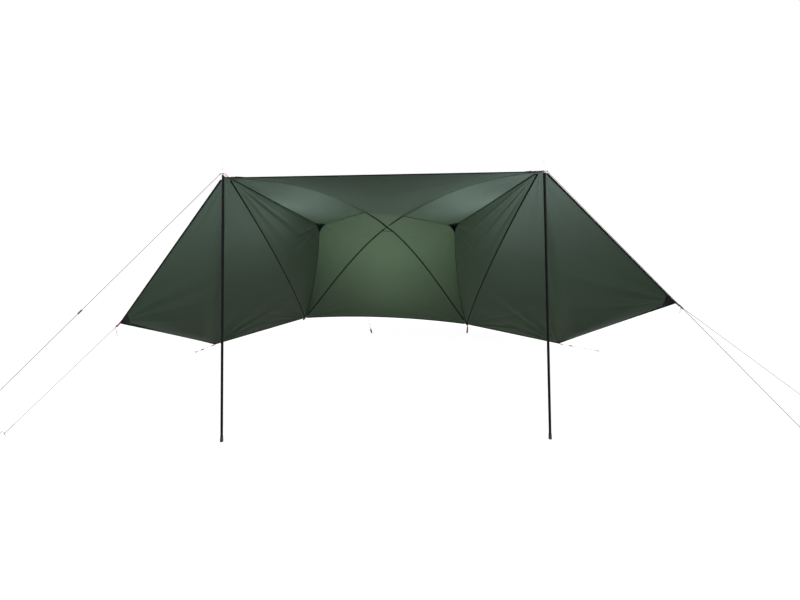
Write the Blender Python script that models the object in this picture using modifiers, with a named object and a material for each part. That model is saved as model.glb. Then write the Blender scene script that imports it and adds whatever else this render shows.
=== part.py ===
"""Car side tent: a cloth shelter, open in front, on two steel uprights and two crossed flexible poles."""

import math
from dataclasses import dataclass

import bmesh
import bpy
from mathutils import Vector

# Driving dimensions in metres: X to the right, Y into the tent from the front line, Z up
EYELET_HEIGHT = 1.985
EYELET_SPAN = 2.38
FOOT_SPAN = 2.434
SPIKE_LENGTH = 0.085
PEAK_INSET = 0.038

# Corners of the cloth, each (x, y, z)
LEFT_PEAK = (PEAK_INSET - EYELET_SPAN / 2, 0.0, 1.960)
RIGHT_PEAK = (EYELET_SPAN / 2 - PEAK_INSET, 0.0, 1.986)
LEFT_BACK_CORNER = (-1.192, 3.32, 0.05)
RIGHT_BACK_CORNER = (1.131, 2.97, 0.035)
LEFT_SIDE_CORNER = (-2.066, 2.127, 0.05)
RIGHT_SIDE_CORNER = (2.062, 2.051, 0.05)
LEFT_WING_CORNER = (-2.197, 0.40, 0.780)
RIGHT_WING_CORNER = (2.410, 0.40, 0.909)
LEFT_SHOULDER = (-0.775, 2.004, 1.484)
RIGHT_SHOULDER = (0.831, 2.004, 1.469)
CROSSING_POINT = (0.027, 1.539, 1.490)
LEFT_POLE_SLOPE = 0.673
RIGHT_POLE_SLOPE = 0.915
SHOULDER_SEAM_BOW = 0.046
SIDE_SEAM_BOW = 0.045
BACK_HEM_RISE = 0.055
LEFT_EAVE_AT = 0.573
RIGHT_EAVE_AT = 0.600

# Places on the ground where the guys are pegged, each (x, y)
LEFT_MAIN_PEG = (-3.10, -0.30)
RIGHT_MAIN_PEG = (2.98, -0.30)
LEFT_WING_PEG = (-2.90, 0.10)
RIGHT_WING_PEG = (3.45, 0.00)
LEFT_SIDE_PEG = (-2.213, 1.923)
RIGHT_SIDE_PEG = (2.436, 1.848)

# How far along their guys the runners stand
RUNNERS_AT = {"left_main": 0.5, "right_main": 0.5, "left_side": 0.6, "right_side": 0.25}

# Uprights
UPRIGHT_RADIUS = 0.0095
UPRIGHT_WALL = 0.001
SECTION_JOINT = 1.0
PLUG_LENGTH = 0.06
FOOT_RADIUS = 0.0125
FOOT_HEIGHT = 0.04
FOOT_SOLE = 0.003
COLLAR_DEPTH = 0.003
SPIKE_RADIUS = 0.004
SPIKE_PLUG = 0.03
COLLAR_HEIGHT = 0.008
COLLAR_TOP_RADIUS = 0.006
FOOT_LIFT = 0.0005
EYELET_RADIUS = 0.0048

# Flexible poles and what they slide in
FLEX_RADIUS = 0.00475
SLEEVE_RADIUS = 0.007
SLEEVE_BORE = 0.0053
POCKET_RADIUS = 0.011
POCKET_LENGTH = 0.065
POCKET_SOLE = 0.003
CROSSING_OFFSET = 0.0085
BAR_DISTANCE = 0.10

# Cloth, seams, tapes and cords
CLOTH = 0.002
SEAM_RADIUS = 0.004
HEM_RADIUS = 0.005
TAPE_WIDTH = 0.025
TAPE_THICKNESS = 0.002
MAIN_GUY_RADIUS = 0.002
GUY_RADIUS = 0.0016
PEG_RADIUS = 0.0025
PEG_HEIGHT = 0.04
RUNNER_LENGTH = 0.035
RUNNER_WIDTH = 0.012
RUNNER_PLAY = 0.0005
PATCH = 0.0015
WING_PATCH = 0.12
SHOULDER_ARM = 0.10
SHOULDER_WAIST = 0.045
CORNER_TAPE = 0.035
CORNER_TAPE_WIDTH = 0.020
STRAP_WIDTH = 0.020
STRAP_END = (1.08, 2.66)
TAB_END = (-0.19, 2.70)
TAB_LENGTH = 0.11
HEM_CORD_AT = 0.40
PEG_LEAN = 0.35

# Clearances
GAP = 0.0003
CLOTH_GAP = 0.0006

# Trims, from a corner along each edge
TAPE_OUTER = 0.017
TAPE_FLAT = 0.014
HEM_TRIM = 0.030
PEAK_TRIM = 0.046
POLE_TRIM = 0.030
FOOT_TRIM = 0.075
SEAM_TRIM = 0.11
CORNER_ROUND = 0.010

# Widths at which the narrow ends of the cloth panels are cut off, and their clipped corners
SHOULDER_START = 0.045
SHOULDER_END = 0.055
REAR_SIDE_START = 0.035
REAR_SIDE_END = 0.045
ROOF_START = 0.06
PATCH_START = 0.045
WING_START = 0.10
ROOF_CLIP = 0.05
HEM_CLIP = 0.07
WING_CLIP = 0.006

# Counts
ROUND_STEPS = 16
REAR_ROWS = 9
MIDDLE_ROWS = 3
FRONT_ROWS = 9
PANEL_COLUMNS = 8


@dataclass(frozen=True)
class Side:
    """One side of the tent, with the places of its corners and pegs."""

    name: str
    sign: int
    peak: Vector
    back: Vector
    corner: Vector
    wing: Vector
    shoulder: Vector
    eave_at: float
    pole_slope: float
    main_peg: Vector
    wing_peg: Vector
    side_peg: Vector

    @property
    def eyelet(self):
        return Vector((self.sign * EYELET_SPAN / 2, 0.0, EYELET_HEIGHT))

    @property
    def foot(self):
        return Vector((self.sign * FOOT_SPAN / 2, 0.0, 0.0))


def on_ground(place):
    return Vector((place[0], place[1], 0.0))


LEFT = Side(
    "left", -1, Vector(LEFT_PEAK), Vector(LEFT_BACK_CORNER), Vector(LEFT_SIDE_CORNER),
    Vector(LEFT_WING_CORNER), Vector(LEFT_SHOULDER), LEFT_EAVE_AT, LEFT_POLE_SLOPE,
    on_ground(LEFT_MAIN_PEG), on_ground(LEFT_WING_PEG), on_ground(LEFT_SIDE_PEG),
)
RIGHT = Side(
    "right", 1, Vector(RIGHT_PEAK), Vector(RIGHT_BACK_CORNER), Vector(RIGHT_SIDE_CORNER),
    Vector(RIGHT_WING_CORNER), Vector(RIGHT_SHOULDER), RIGHT_EAVE_AT, RIGHT_POLE_SLOPE,
    on_ground(RIGHT_MAIN_PEG), on_ground(RIGHT_WING_PEG), on_ground(RIGHT_SIDE_PEG),
)
SIDES = (LEFT, RIGHT)
OTHER = {"left": RIGHT, "right": LEFT}

# The part's origin lies under the middle of its cloth and poles
CENTRE_X = (LEFT.wing.x + RIGHT.wing.x) / 2
CENTRE_Y = LEFT.back.y / 2 + 0.02

# Colours and finishes
FINISHES = {
    "green_cloth": ((0.055, 0.095, 0.06, 1.0), 0.0, 0.75),
    "dark_tape": ((0.012, 0.013, 0.013, 1.0), 0.0, 0.8),
    "patch_cloth": ((0.022, 0.03, 0.026, 1.0), 0.0, 0.75),
    "red_webbing": ((0.16, 0.007, 0.03, 1.0), 0.0, 0.7),
    "guy_cord": ((0.42, 0.38, 0.39, 1.0), 0.0, 0.8),
    "black_steel": ((0.01, 0.01, 0.011, 1.0), 0.6, 0.4),
    "black_rubber": ((0.012, 0.012, 0.012, 1.0), 0.0, 0.85),
    "spike_steel": ((0.5, 0.5, 0.5, 1.0), 1.0, 0.35),
    "fibreglass": ((0.015, 0.015, 0.016, 1.0), 0.0, 0.35),
    "runner_plastic": ((0.014, 0.014, 0.015, 1.0), 0.0, 0.5),
    "peg_steel": ((0.42, 0.42, 0.43, 1.0), 1.0, 0.4),
}


# Scene, materials and helpers
def clear_scene():
    for obj in list(bpy.data.objects):
        bpy.data.objects.remove(obj)


def new_collection(name):
    collection = bpy.data.collections.new(name)
    bpy.context.scene.collection.children.link(collection)
    return collection


def new_material(slot):
    found = bpy.data.materials.get(slot)
    if found:
        return found
    colour, metallic, roughness = FINISHES[slot]
    made = bpy.data.materials.new(slot)
    made.use_nodes = True
    shader = made.node_tree.nodes["Principled BSDF"]
    shader.inputs["Base Color"].default_value = colour
    shader.inputs["Metallic"].default_value = metallic
    shader.inputs["Roughness"].default_value = roughness
    return made


def add_empty(name, location, parent=None):
    empty = bpy.data.objects.new(name, None)
    empty.location = location
    empty.parent = parent
    PART.objects.link(empty)
    return empty


def add_object(name, data, slot, parent):
    obj = bpy.data.objects.new(name, data)
    data.materials.append(new_material(slot))
    obj.parent = parent
    PART.objects.link(obj)
    return obj


def add_cutter(name, bm, parent):
    mesh = bpy.data.meshes.new(name)
    bm.to_mesh(mesh)
    bm.free()
    cutter = bpy.data.objects.new(name, mesh)
    cutter.parent = parent
    cutter.hide_render = True
    cutter.display_type = "WIRE"
    CUTTERS.objects.link(cutter)
    return cutter


def cut(obj, cutter):
    modifier = obj.modifiers.new("Cut", "BOOLEAN")
    modifier.operation = "DIFFERENCE"
    modifier.solver = "EXACT"
    modifier.object = cutter


def thicken(obj, thickness, offset=0.0):
    modifier = obj.modifiers.new("Thickness", "SOLIDIFY")
    modifier.thickness = thickness
    modifier.offset = offset


# Paths
def cut_path(points, start, end):
    """The polyline between two distances, measured in from its two ends."""
    return drop_length(drop_length(points, start)[::-1], end)[::-1]


def drop_length(points, length):
    left = length
    for index in range(len(points) - 1):
        step = (points[index + 1] - points[index]).length
        if left < step - 1e-6:
            first = points[index].lerp(points[index + 1], left / step)
            return [first] + [p.copy() for p in points[index + 1:]]
        left -= step
    raise ValueError("trimmed away")


def line(start, end, steps):
    return [start.lerp(end, i / steps) for i in range(steps + 1)]


def bowed(start, end, bow, steps):
    """A parabola between two points whose middle stands off by bow."""
    return [
        start.lerp(end, i / steps) + bow * 4.0 * (i / steps) * (1.0 - i / steps)
        for i in range(steps + 1)
    ]


def rounded(before, corner, after, radius, steps=4):
    """Points of an arc that rounds a corner between two straight edges."""
    first = (before - corner).normalized()
    second = (after - corner).normalized()
    half = first.angle(second) / 2
    centre = corner + (first + second).normalized() * radius / math.sin(half)
    start = corner + first * radius / math.tan(half) - centre
    end = corner + second * radius / math.tan(half) - centre
    turn = start.angle(end)
    return [
        centre + (start * math.sin(turn * (1 - i / steps)) + end * math.sin(turn * i / steps)) / math.sin(turn)
        for i in range(steps + 1)
    ]


# Flexible poles: each runs from its own back corner to the peak of the other side
def crossing_fractions():
    """How far along each pole, in plan, the two poles cross."""
    a = LEFT.back.xy
    b = RIGHT.peak.xy
    c = RIGHT.back.xy
    d = LEFT.peak.xy
    run_one = b - a
    run_two = d - c
    across = run_one.x * run_two.y - run_one.y * run_two.x
    offset = c - a
    first = (offset.x * run_two.y - offset.y * run_two.x) / across
    second = (offset.x * run_one.y - offset.y * run_one.x) / across
    return {"left": first, "right": second}


def pole_point(side, fraction):
    """A point of the bent pole, which goes through the crossing in plan and in height."""
    start = side.back
    end = OTHER[side.name].peak
    crossing = CROSSING[side.name]
    meeting = Vector(CROSSING_POINT)
    bend = fraction * (1.0 - fraction) / (crossing * (1.0 - crossing))
    place = start.lerp(end, fraction) + (meeting - start.lerp(end, crossing)) * bend
    fullness = math.log((end.z - meeting.z) / (end.z - start.z)) / math.log(1.0 - crossing)
    if fraction >= crossing:
        place.z = end.z - (end.z - start.z) * (1.0 - fraction) ** fullness
        return place
    run = (end.xy - start.xy).length
    part = fraction / crossing
    foot_slope = side.pole_slope * run * crossing
    top_slope = (end.z - meeting.z) * fullness / (1.0 - crossing) * crossing
    place.z = (
        start.z * (2 * part ** 3 - 3 * part ** 2 + 1) + foot_slope * (part ** 3 - 2 * part ** 2 + part)
        + meeting.z * (3 * part ** 2 - 2 * part ** 3) + top_slope * (part ** 3 - part ** 2)
    )
    return place


def pole_stations(side):
    """Fractions of one pole: back corner, bar, crossing, eave fold, peak."""
    crossing = CROSSING[side.name]
    run = (OTHER[side.name].peak.xy - side.back.xy).length
    bar = crossing - BAR_DISTANCE / run
    rear = [bar * i / REAR_ROWS for i in range(REAR_ROWS + 1)]
    eave = OTHER[side.name].eave_at
    middle = [crossing + (eave - crossing) * i / MIDDLE_ROWS for i in range(MIDDLE_ROWS)]
    front = [eave + (1.0 - eave) * i / FRONT_ROWS for i in range(FRONT_ROWS + 1)]
    return rear + middle + front


def pole_path(side):
    """Centre line of one pole, lifted or lowered where the two cross."""
    points = [pole_point(side, fraction) for fraction in pole_stations(side)]
    points[REAR_ROWS + 1].z -= side.sign * CROSSING_OFFSET
    return points


def pole_foot(side):
    """Where the pole's centre line ends above the ground, in the sole of its pocket."""
    path = POLES[side.name]
    down = (path[0] - path[1]).normalized()
    level = math.hypot(down.x, down.y)
    drop = path[0].z - POCKET_RADIUS * level - GAP
    return path[0] + down * drop / -down.z


# Solids
def add_tube(name, points, radius, slot, parent, bore=0.0):
    """A round bar, or a hose with its bore, along a polyline."""
    curve = bpy.data.curves.new(name, "CURVE")
    curve.dimensions = "3D"
    curve.twist_mode = "Z_UP"
    curve.resolution_u = 1
    curve.render_resolution_u = 0
    curve.bevel_depth = radius
    curve.bevel_resolution = 2
    curve.use_fill_caps = not bore
    spline = curve.splines.new("POLY")
    spline.points.add(len(points) - 1)
    for point, place in zip(spline.points, points):
        point.co = (place.x, place.y, place.z, 1.0)
    obj = add_object(name, curve, slot, parent)
    if bore:
        thicken(obj, radius - bore, -1.0)
    return obj


def add_turned(name, profile, start, end, slot, parent):
    """A round solid whose profile, (distance along, radius), runs from one point towards another."""
    bm = bmesh.new()
    verts = [bm.verts.new((radius, 0.0, along)) for along, radius in profile]
    closed = min(radius for _, radius in profile) > 0.0
    edges = [bm.edges.new((verts[i], verts[i + 1])) for i in range(len(verts) - 1)]
    if closed:
        edges.append(bm.edges.new((verts[-1], verts[0])))
    bmesh.ops.spin(
        bm, geom=verts + edges, cent=(0, 0, 0), axis=(0, 0, 1), angle=2 * math.pi, steps=ROUND_STEPS,
        use_merge=True,
    )
    bmesh.ops.remove_doubles(bm, verts=bm.verts, dist=1e-6)
    bmesh.ops.recalc_face_normals(bm, faces=bm.faces)
    mesh = bpy.data.meshes.new(name)
    bm.to_mesh(mesh)
    bm.free()
    for polygon in mesh.polygons:
        polygon.use_smooth = True
    obj = add_object(name, mesh, slot, parent)
    obj.location = start
    obj.rotation_mode = "QUATERNION"
    obj.rotation_quaternion = (end - start).to_track_quat("Z", "Y")
    return obj


def add_sheet(name, rows, thickness, slot, parent):
    """A closed sheet of one thickness about a grid of points."""
    bm = bmesh.new()
    grid = [[bm.verts.new(point) for point in row] for row in rows]
    for upper, lower in zip(grid, grid[1:]):
        for i in range(len(upper) - 1):
            bm.faces.new((upper[i], lower[i], lower[i + 1], upper[i + 1]))
    mesh = bpy.data.meshes.new(name)
    bm.to_mesh(mesh)
    bm.free()
    obj = add_object(name, mesh, slot, parent)
    thicken(obj, thickness)
    return obj


def add_strap(name, path, width, across, slot, parent, thickness=TAPE_THICKNESS):
    """A flat tape along a path, as wide as given along the direction across."""
    half = across.normalized() * width / 2
    return add_sheet(name, [[p - half, p + half] for p in path], thickness, slot, parent)


# Cloth panels
def tangents(rail, index):
    found = []
    if index > 0:
        found.append((rail[index] - rail[index - 1]).normalized())
    if index < len(rail) - 1:
        found.append((rail[index + 1] - rail[index]).normalized())
    return found


def step_in(edge, inner, rail, index, margin):
    """Moves a point along its row until it is the margin away from the rail it lies on."""
    along = (inner - edge).normalized()
    reach = 0.0
    for tangent in tangents(rail, index):
        sine = math.sqrt(max(1.0 - along.dot(tangent) ** 2, 0.01))
        reach = max(reach, margin / sine)
    return edge + along * reach


def start_wide(rails, narrow):
    """Starts rails that meet in a point where they have come apart by the width given."""
    for index in range(1, len(rails[0])):
        width = (rails[0][index] - rails[-1][index]).length
        if width > narrow:
            before = (rails[0][index - 1] - rails[-1][index - 1]).length
            part = max((narrow - before) / (width - before), 0.0)
            return [[rail[index - 1].lerp(rail[index], part)] + rail[index:] for rail in rails]
    raise ValueError("too narrow")


def panel_rows(rails, columns, margins):
    """Rows of points between rails, kept a margin away from the first and last one."""
    rows = []
    for index in range(len(rails[0])):
        knots = [rail[index] for rail in rails]
        first = step_in(knots[0], knots[1], rails[0], index, margins[0])
        last = step_in(knots[-1], knots[-2], rails[-1], index, margins[1])
        knots = [first] + knots[1:-1] + [last]
        row = []
        for start, end, count in zip(knots, knots[1:], columns):
            row += line(start, end, count)[:-1]
        rows.append(row + [knots[-1]])
    return rows


def step_back(rows, margin):
    """Draws the last row back from the edge that it lies on."""
    last = rows[-1]
    moved = []
    for index, point in enumerate(last):
        moved.append(step_in(point, rows[-2][index], last, index, margin))
    return rows[:-1] + [moved]


def clip_corner(rows, row, column, amount):
    """Cuts one corner of a grid by moving it towards the middle of the panel."""
    inner_row = 1 if row == 0 else -2
    inner_column = 1 if column == 0 else -2
    towards = (rows[inner_row][inner_column] - rows[row][column]).normalized()
    rows[row][column] = rows[row][column] + towards * amount


# Rails that the panels and seams share
def shoulder_rail(side):
    """The seam from a peak over the shoulder to the back corner."""
    front = line(side.peak, side.shoulder, FRONT_ROWS)
    bow = Vector((-side.sign * SHOULDER_SEAM_BOW, 0.0, 0.0))
    rear = bowed(side.shoulder, side.back, bow, MIDDLE_ROWS + REAR_ROWS + 1)
    return front + rear[1:]


def pole_rail(side):
    """The poles' line from a peak by the crossing to the back corner of the same side."""
    front = POLES[OTHER[side.name].name][REAR_ROWS + 2:][::-1]
    rear = POLES[side.name][:REAR_ROWS + 1][::-1]
    crossing = (POLES["left"][REAR_ROWS + 1] + POLES["right"][REAR_ROWS + 1]) / 2
    return front + [crossing] + rear


def side_rail(side, steps=FRONT_ROWS + MIDDLE_ROWS + REAR_ROWS + 1):
    """The long seam from a peak to the back corner."""
    return bowed(side.peak, side.back, Vector((-side.sign * SIDE_SEAM_BOW, 0.0, 0.0)), steps)


def wing_start(side):
    """Where the wing's upper edge would meet the upright."""
    return Vector((side.eyelet.x, 0.0, side.peak.z + HEM_RADIUS))


def wing_edge(side):
    """The free edge: peak, wing corner, side corner, back corner."""
    start = wing_start(side)
    first = rounded(start, side.wing, side.corner, CORNER_ROUND)
    second = rounded(side.wing, side.corner, side.back, CORNER_ROUND)
    return [start] + first + second + [side.back]


def back_hem_rail():
    return bowed(LEFT.back, RIGHT.back, Vector((0.0, 0.0, BACK_HEM_RISE)), 2 * PANEL_COLUMNS)


def build_cloth(tent):
    sleeve = SLEEVE_RADIUS + CLOTH_GAP
    seam = SEAM_RADIUS + CLOTH_GAP
    hem = HEM_RADIUS + CLOTH_GAP
    build_roof(tent, sleeve, hem)
    build_back(tent, sleeve, hem)
    for side in SIDES:
        rails = start_wide([pole_rail(side), shoulder_rail(side)], SHOULDER_START)
        rails = [rail[::-1] for rail in start_wide([rail[::-1] for rail in rails], SHOULDER_END)]
        rows = panel_rows(rails, [PANEL_COLUMNS], (sleeve, seam))
        crossing = Vector(CROSSING_POINT)
        nearest = min(rows, key=lambda row: (row[0] - crossing).length)
        nearest[0] = nearest[0] + (nearest[1] - nearest[0]).normalized() * 1.5 * CROSSING_OFFSET
        add_sheet(f"{side.name}_shoulder_panel", rows, CLOTH, "green_cloth", tent)

        rails = start_wide([shoulder_rail(side), side_rail(side)], REAR_SIDE_START)
        rails = [rail[::-1] for rail in start_wide([rail[::-1] for rail in rails], REAR_SIDE_END)]
        rows = panel_rows(rails, [PANEL_COLUMNS // 2], (seam, seam))
        add_sheet(f"{side.name}_rear_side_panel", rows, CLOTH, "green_cloth", tent)

        build_wing(tent, side, seam, hem)


def build_roof(tent, sleeve, hem):
    """Roof from the front hem back to the crossing, with its fold between the two poles."""
    rails = [POLES["right"][REAR_ROWS + 1:], POLES["left"][REAR_ROWS + 1:]]
    rails = start_wide(rails, ROOF_START)
    rows = step_back(panel_rows(rails, [2 * PANEL_COLUMNS], (sleeve, sleeve)), hem)
    clip_corner(rows, -1, 0, ROOF_CLIP)
    clip_corner(rows, -1, -1, ROOF_CLIP)
    add_sheet("roof_panel", rows, CLOTH, "green_cloth", tent)


def build_back(tent, sleeve, hem):
    """Back wall under the crossing, with the small patch that closes its top corner."""
    left = POLES["left"][:REAR_ROWS + 2][::-1]
    right = POLES["right"][:REAR_ROWS + 2][::-1]
    top = start_wide([left[:2], right[:2]], PATCH_START)
    rows = panel_rows(top, [2], (sleeve, sleeve))
    add_sheet("crossing_patch", step_back(rows, CLOTH_GAP), CLOTH, "patch_cloth", tent)

    rows = panel_rows([left[1:], right[1:]], [2 * PANEL_COLUMNS], (sleeve, sleeve))
    last = len(rows) - 1
    for index, row in enumerate(rows):
        for column, point in enumerate(row):
            across = column / (len(row) - 1)
            point.z += BACK_HEM_RISE * 4.0 * across * (1.0 - across) * (index / last) ** 2
    rows = step_back(rows, hem)
    clip_corner(rows, -1, 0, HEM_CLIP)
    clip_corner(rows, -1, -1, HEM_CLIP)
    add_sheet("back_panel", rows, CLOTH, "green_cloth", tent)


def build_wing(tent, side, seam, hem):
    """Side wall and wing in one cloth, with the fold that runs from the peak to the side corner."""
    steps = FRONT_ROWS + MIDDLE_ROWS + REAR_ROWS + 1
    rails = [
        side_rail(side, steps), line(side.peak, side.corner, steps), line(wing_start(side), side.wing, steps),
    ]
    rails = start_wide(rails, WING_START)
    rows = panel_rows(rails, [PANEL_COLUMNS, PANEL_COLUMNS], (seam, hem))
    rows = step_back(rows, hem)
    clip_corner(rows, -1, 0, HEM_CLIP)
    clip_corner(rows, -1, -1, WING_CLIP)
    add_sheet(f"{side.name}_wing_panel", rows, CLOTH, "green_cloth", tent)


# Seams, hems and patches
def build_seams(tent):
    for side in SIDES:
        path = cut_path(shoulder_rail(side), PEAK_TRIM, SEAM_TRIM)
        add_tube(f"{side.name}_shoulder_seam", path, SEAM_RADIUS, "dark_tape", tent)
        path = cut_path(side_rail(side), PEAK_TRIM, FOOT_TRIM)
        add_tube(f"{side.name}_side_seam", path, SEAM_RADIUS, "dark_tape", tent)
        path = cut_path(wing_edge(side), PEAK_TRIM, FOOT_TRIM)
        add_tube(f"{side.name}_wing_hem", path, HEM_RADIUS, "dark_tape", tent)
    ends = [LEFT.peak, RIGHT.peak]
    add_tube("front_hem", cut_path(ends, HEM_TRIM, HEM_TRIM), HEM_RADIUS, "dark_tape", tent)
    add_tube("back_hem", cut_path(back_hem_rail(), FOOT_TRIM, FOOT_TRIM), HEM_RADIUS, "dark_tape", tent)


def build_patches(tent):
    """Dark reinforcing cloth at the shoulders and the wing corners."""
    for side in SIDES:
        build_shoulder_patch(tent, side)
        inward = (side.peak - side.wing).cross(side.corner - side.wing).normalized() * side.sign
        up = (wing_start(side) - side.wing).normalized()
        down = (side.corner - side.wing).normalized()
        margin = HEM_RADIUS + CLOTH_GAP
        lift = inward * (CLOTH / 2 + PATCH / 2 + GAP)
        inset = (up + down).normalized() * margin / math.sin(up.angle(down) / 2)
        start = side.wing + inset + (up + down).normalized() * 0.004 + lift
        rows = [
            [start + up * WING_PATCH * part, start + down * WING_PATCH * part]
            for part in (0.12, 0.55, 1.0)
        ]
        add_sheet(f"{side.name}_wing_patch", rows, PATCH, "patch_cloth", tent)


def build_shoulder_patch(tent, side):
    """A three-armed patch inside the shoulder, along the three folds that meet there."""
    rail = shoulder_rail(side)
    poles = pole_rail(side)
    centre = rail[FRONT_ROWS]
    arms = [
        (rail[FRONT_ROWS - 1] - centre).normalized(),
        (poles[FRONT_ROWS] - centre).normalized(),
        (rail[FRONT_ROWS + 1] - centre).normalized(),
    ]
    inside = sum(arms, Vector()).normalized()
    sine = min(math.sin(inside.angle(arm)) for arm in (arms[0], arms[2]))
    hub = centre + inside * (SEAM_RADIUS + PATCH / 2 + CLOTH_GAP) / sine
    ring = []
    for index, arm in enumerate(arms):
        following = arms[(index + 1) % len(arms)]
        ring.append(hub + arm * SHOULDER_ARM)
        ring.append(hub + (arm + following).normalized() * SHOULDER_WAIST)
    bm = bmesh.new()
    middle = bm.verts.new(hub)
    around = [bm.verts.new(point) for point in ring]
    for index, vert in enumerate(around):
        bm.faces.new((middle, vert, around[(index + 1) % len(around)]))
    bmesh.ops.recalc_face_normals(bm, faces=bm.faces)
    name = f"{side.name}_shoulder_patch"
    mesh = bpy.data.meshes.new(name)
    bm.to_mesh(mesh)
    bm.free()
    thicken(add_object(name, mesh, "patch_cloth", tent), PATCH)


# Uprights
def build_upright(tent, side):
    """A two-part steel upright that leans about its spike in the peak tape's eyelet."""
    lean = add_empty(f"{side.name}_lean", side.eyelet, tent)
    axis = (side.foot - side.eyelet).normalized()
    top = axis * COLLAR_DEPTH

    def at(distance):
        return top + axis * distance

    length = (side.foot - side.eyelet).length - COLLAR_DEPTH
    inner = UPRIGHT_RADIUS - UPRIGHT_WALL
    collar = COLLAR_HEIGHT
    tip = SPIKE_LENGTH + COLLAR_DEPTH
    spike = [
        (-SPIKE_PLUG, 0.0), (-SPIKE_PLUG, inner - GAP), (-collar, inner - GAP), (-collar, UPRIGHT_RADIUS),
        (-collar / 2, UPRIGHT_RADIUS), (0.0, COLLAR_TOP_RADIUS), (0.0, SPIKE_RADIUS),
        (tip - SPIKE_RADIUS, SPIKE_RADIUS), (tip, SPIKE_RADIUS * 0.6), (tip, 0.0),
    ]
    add_turned(f"{side.name}_spike", spike, at(0.0), at(-1.0), "spike_steel", lean)

    joint = SECTION_JOINT
    neck = inner - GAP
    upper = [
        (collar + GAP, inner), (collar + GAP, UPRIGHT_RADIUS), (joint, UPRIGHT_RADIUS), (joint, neck),
        (joint + PLUG_LENGTH, neck), (joint + PLUG_LENGTH, neck - UPRIGHT_WALL),
        (joint - 0.01, neck - UPRIGHT_WALL), (joint - 0.02, inner),
    ]
    add_turned(f"{side.name}_upright_upper", upper, at(0.0), at(1.0), "black_steel", lean)

    floor = length - FOOT_SOLE - GAP - FOOT_LIFT
    lower = [
        (joint + GAP, inner), (joint + GAP, UPRIGHT_RADIUS), (floor, UPRIGHT_RADIUS), (floor, inner),
    ]
    add_turned(f"{side.name}_upright_lower", lower, at(0.0), at(1.0), "black_steel", lean)

    sole = length - FOOT_LIFT
    foot = [
        (sole, 0.0), (sole, FOOT_RADIUS - 0.002), (sole - 0.002, FOOT_RADIUS),
        (sole - FOOT_HEIGHT, FOOT_RADIUS - 0.0015), (sole - FOOT_HEIGHT, UPRIGHT_RADIUS + GAP),
        (floor + GAP, UPRIGHT_RADIUS + GAP), (floor + GAP, 0.0),
    ]
    add_turned(f"{side.name}_foot", foot, at(0.0), at(1.0), "black_rubber", lean)


# Tapes and webbing
def build_tapes(tent):
    for side in SIDES:
        outward = Vector((side.sign, 0.0, 0.0))
        inner = side.peak - outward * (HEM_TRIM - 2 * GAP)
        path = [side.eyelet + outward * TAPE_OUTER, side.eyelet - outward * TAPE_FLAT, inner]
        tape = add_strap(f"{side.name}_peak_tape", path, TAPE_WIDTH, Vector((0, 1, 0)), "red_webbing", tent)
        bm = bmesh.new()
        bmesh.ops.create_cone(
            bm, cap_ends=True, segments=ROUND_STEPS, radius1=EYELET_RADIUS, radius2=EYELET_RADIUS,
            depth=10 * TAPE_THICKNESS,
        )
        eyelet = add_cutter(f"{side.name}_eyelet_hole", bm, tent)
        eyelet.location = side.eyelet
        cut(tape, eyelet)
        add_corner_tape(tent, f"{side.name}_wing_tape", side.wing, wing_edge(side), side.wing_peg)
        add_corner_tape(tent, f"{side.name}_side_tape", side.corner, wing_edge(side), side.side_peg)
        foot = pole_foot(side)
        towards = (POLES[side.name][0] - foot).normalized()
        wall = FLEX_RADIUS + CLOTH_GAP
        pocket = [
            (0.0, 0.0), (0.0, POCKET_RADIUS), (POCKET_LENGTH, POCKET_RADIUS), (POCKET_LENGTH, wall),
            (POCKET_SOLE, wall), (POCKET_SOLE, 0.0),
        ]
        add_turned(f"{side.name}_pole_pocket", pocket, foot, foot + towards, "patch_cloth", tent)


def add_corner_tape(tent, name, corner, path, peg):
    """A loop of webbing that stands out from a corner of the hem towards its guy."""
    out = (peg - corner).normalized()
    start = corner_tape_start(corner, path, out)
    across = out.cross(Vector((0, 0, 1)))
    add_strap(name, [start, start + out * CORNER_TAPE], CORNER_TAPE_WIDTH, across, "red_webbing", tent)


def distance_to(path, point):
    """How far a point lies from a polyline."""
    nearest = []
    for start, end in zip(path, path[1:]):
        run = end - start
        part = min(max((point - start).dot(run) / run.length_squared, 0.0), 1.0)
        nearest.append((start.lerp(end, part) - point).length)
    return min(nearest)


def corner_tape_start(corner, path, out):
    """The first place on the way to the guy where the whole end of the tape is clear of the hem."""
    across = out.cross(Vector((0.0, 0.0, 1.0))).normalized()
    normal = across.cross(out) * TAPE_THICKNESS / 2
    half = across * CORNER_TAPE_WIDTH / 2
    ends = [half * part + face for part in (-1, -0.5, 0, 0.5, 1) for face in (normal, -normal)]
    start = corner.copy()
    while min(distance_to(path, start + end) for end in ends) < HEM_RADIUS + CLOTH_GAP:
        start += out * GAP
    return start


def guy_lines():
    """Each guy's name, the point where it leaves its tape and its peg."""
    found = []
    for side in SIDES:
        edge = wing_edge(side)
        reach = TAPE_OUTER + MAIN_GUY_RADIUS * 0.75 + GAP
        outer = side.eyelet + Vector((side.sign * reach, 0.0, 0.0))
        found.append((f"{side.name}_main", outer, side.main_peg, MAIN_GUY_RADIUS))
        for kind, corner, peg in (("wing", side.wing, side.wing_peg), ("side", side.corner, side.side_peg)):
            out = (peg - corner).normalized()
            start = corner_tape_start(corner, edge, out) + out * (CORNER_TAPE + GAP)
            found.append((f"{side.name}_{kind}", start, peg, GUY_RADIUS))
    return found


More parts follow.
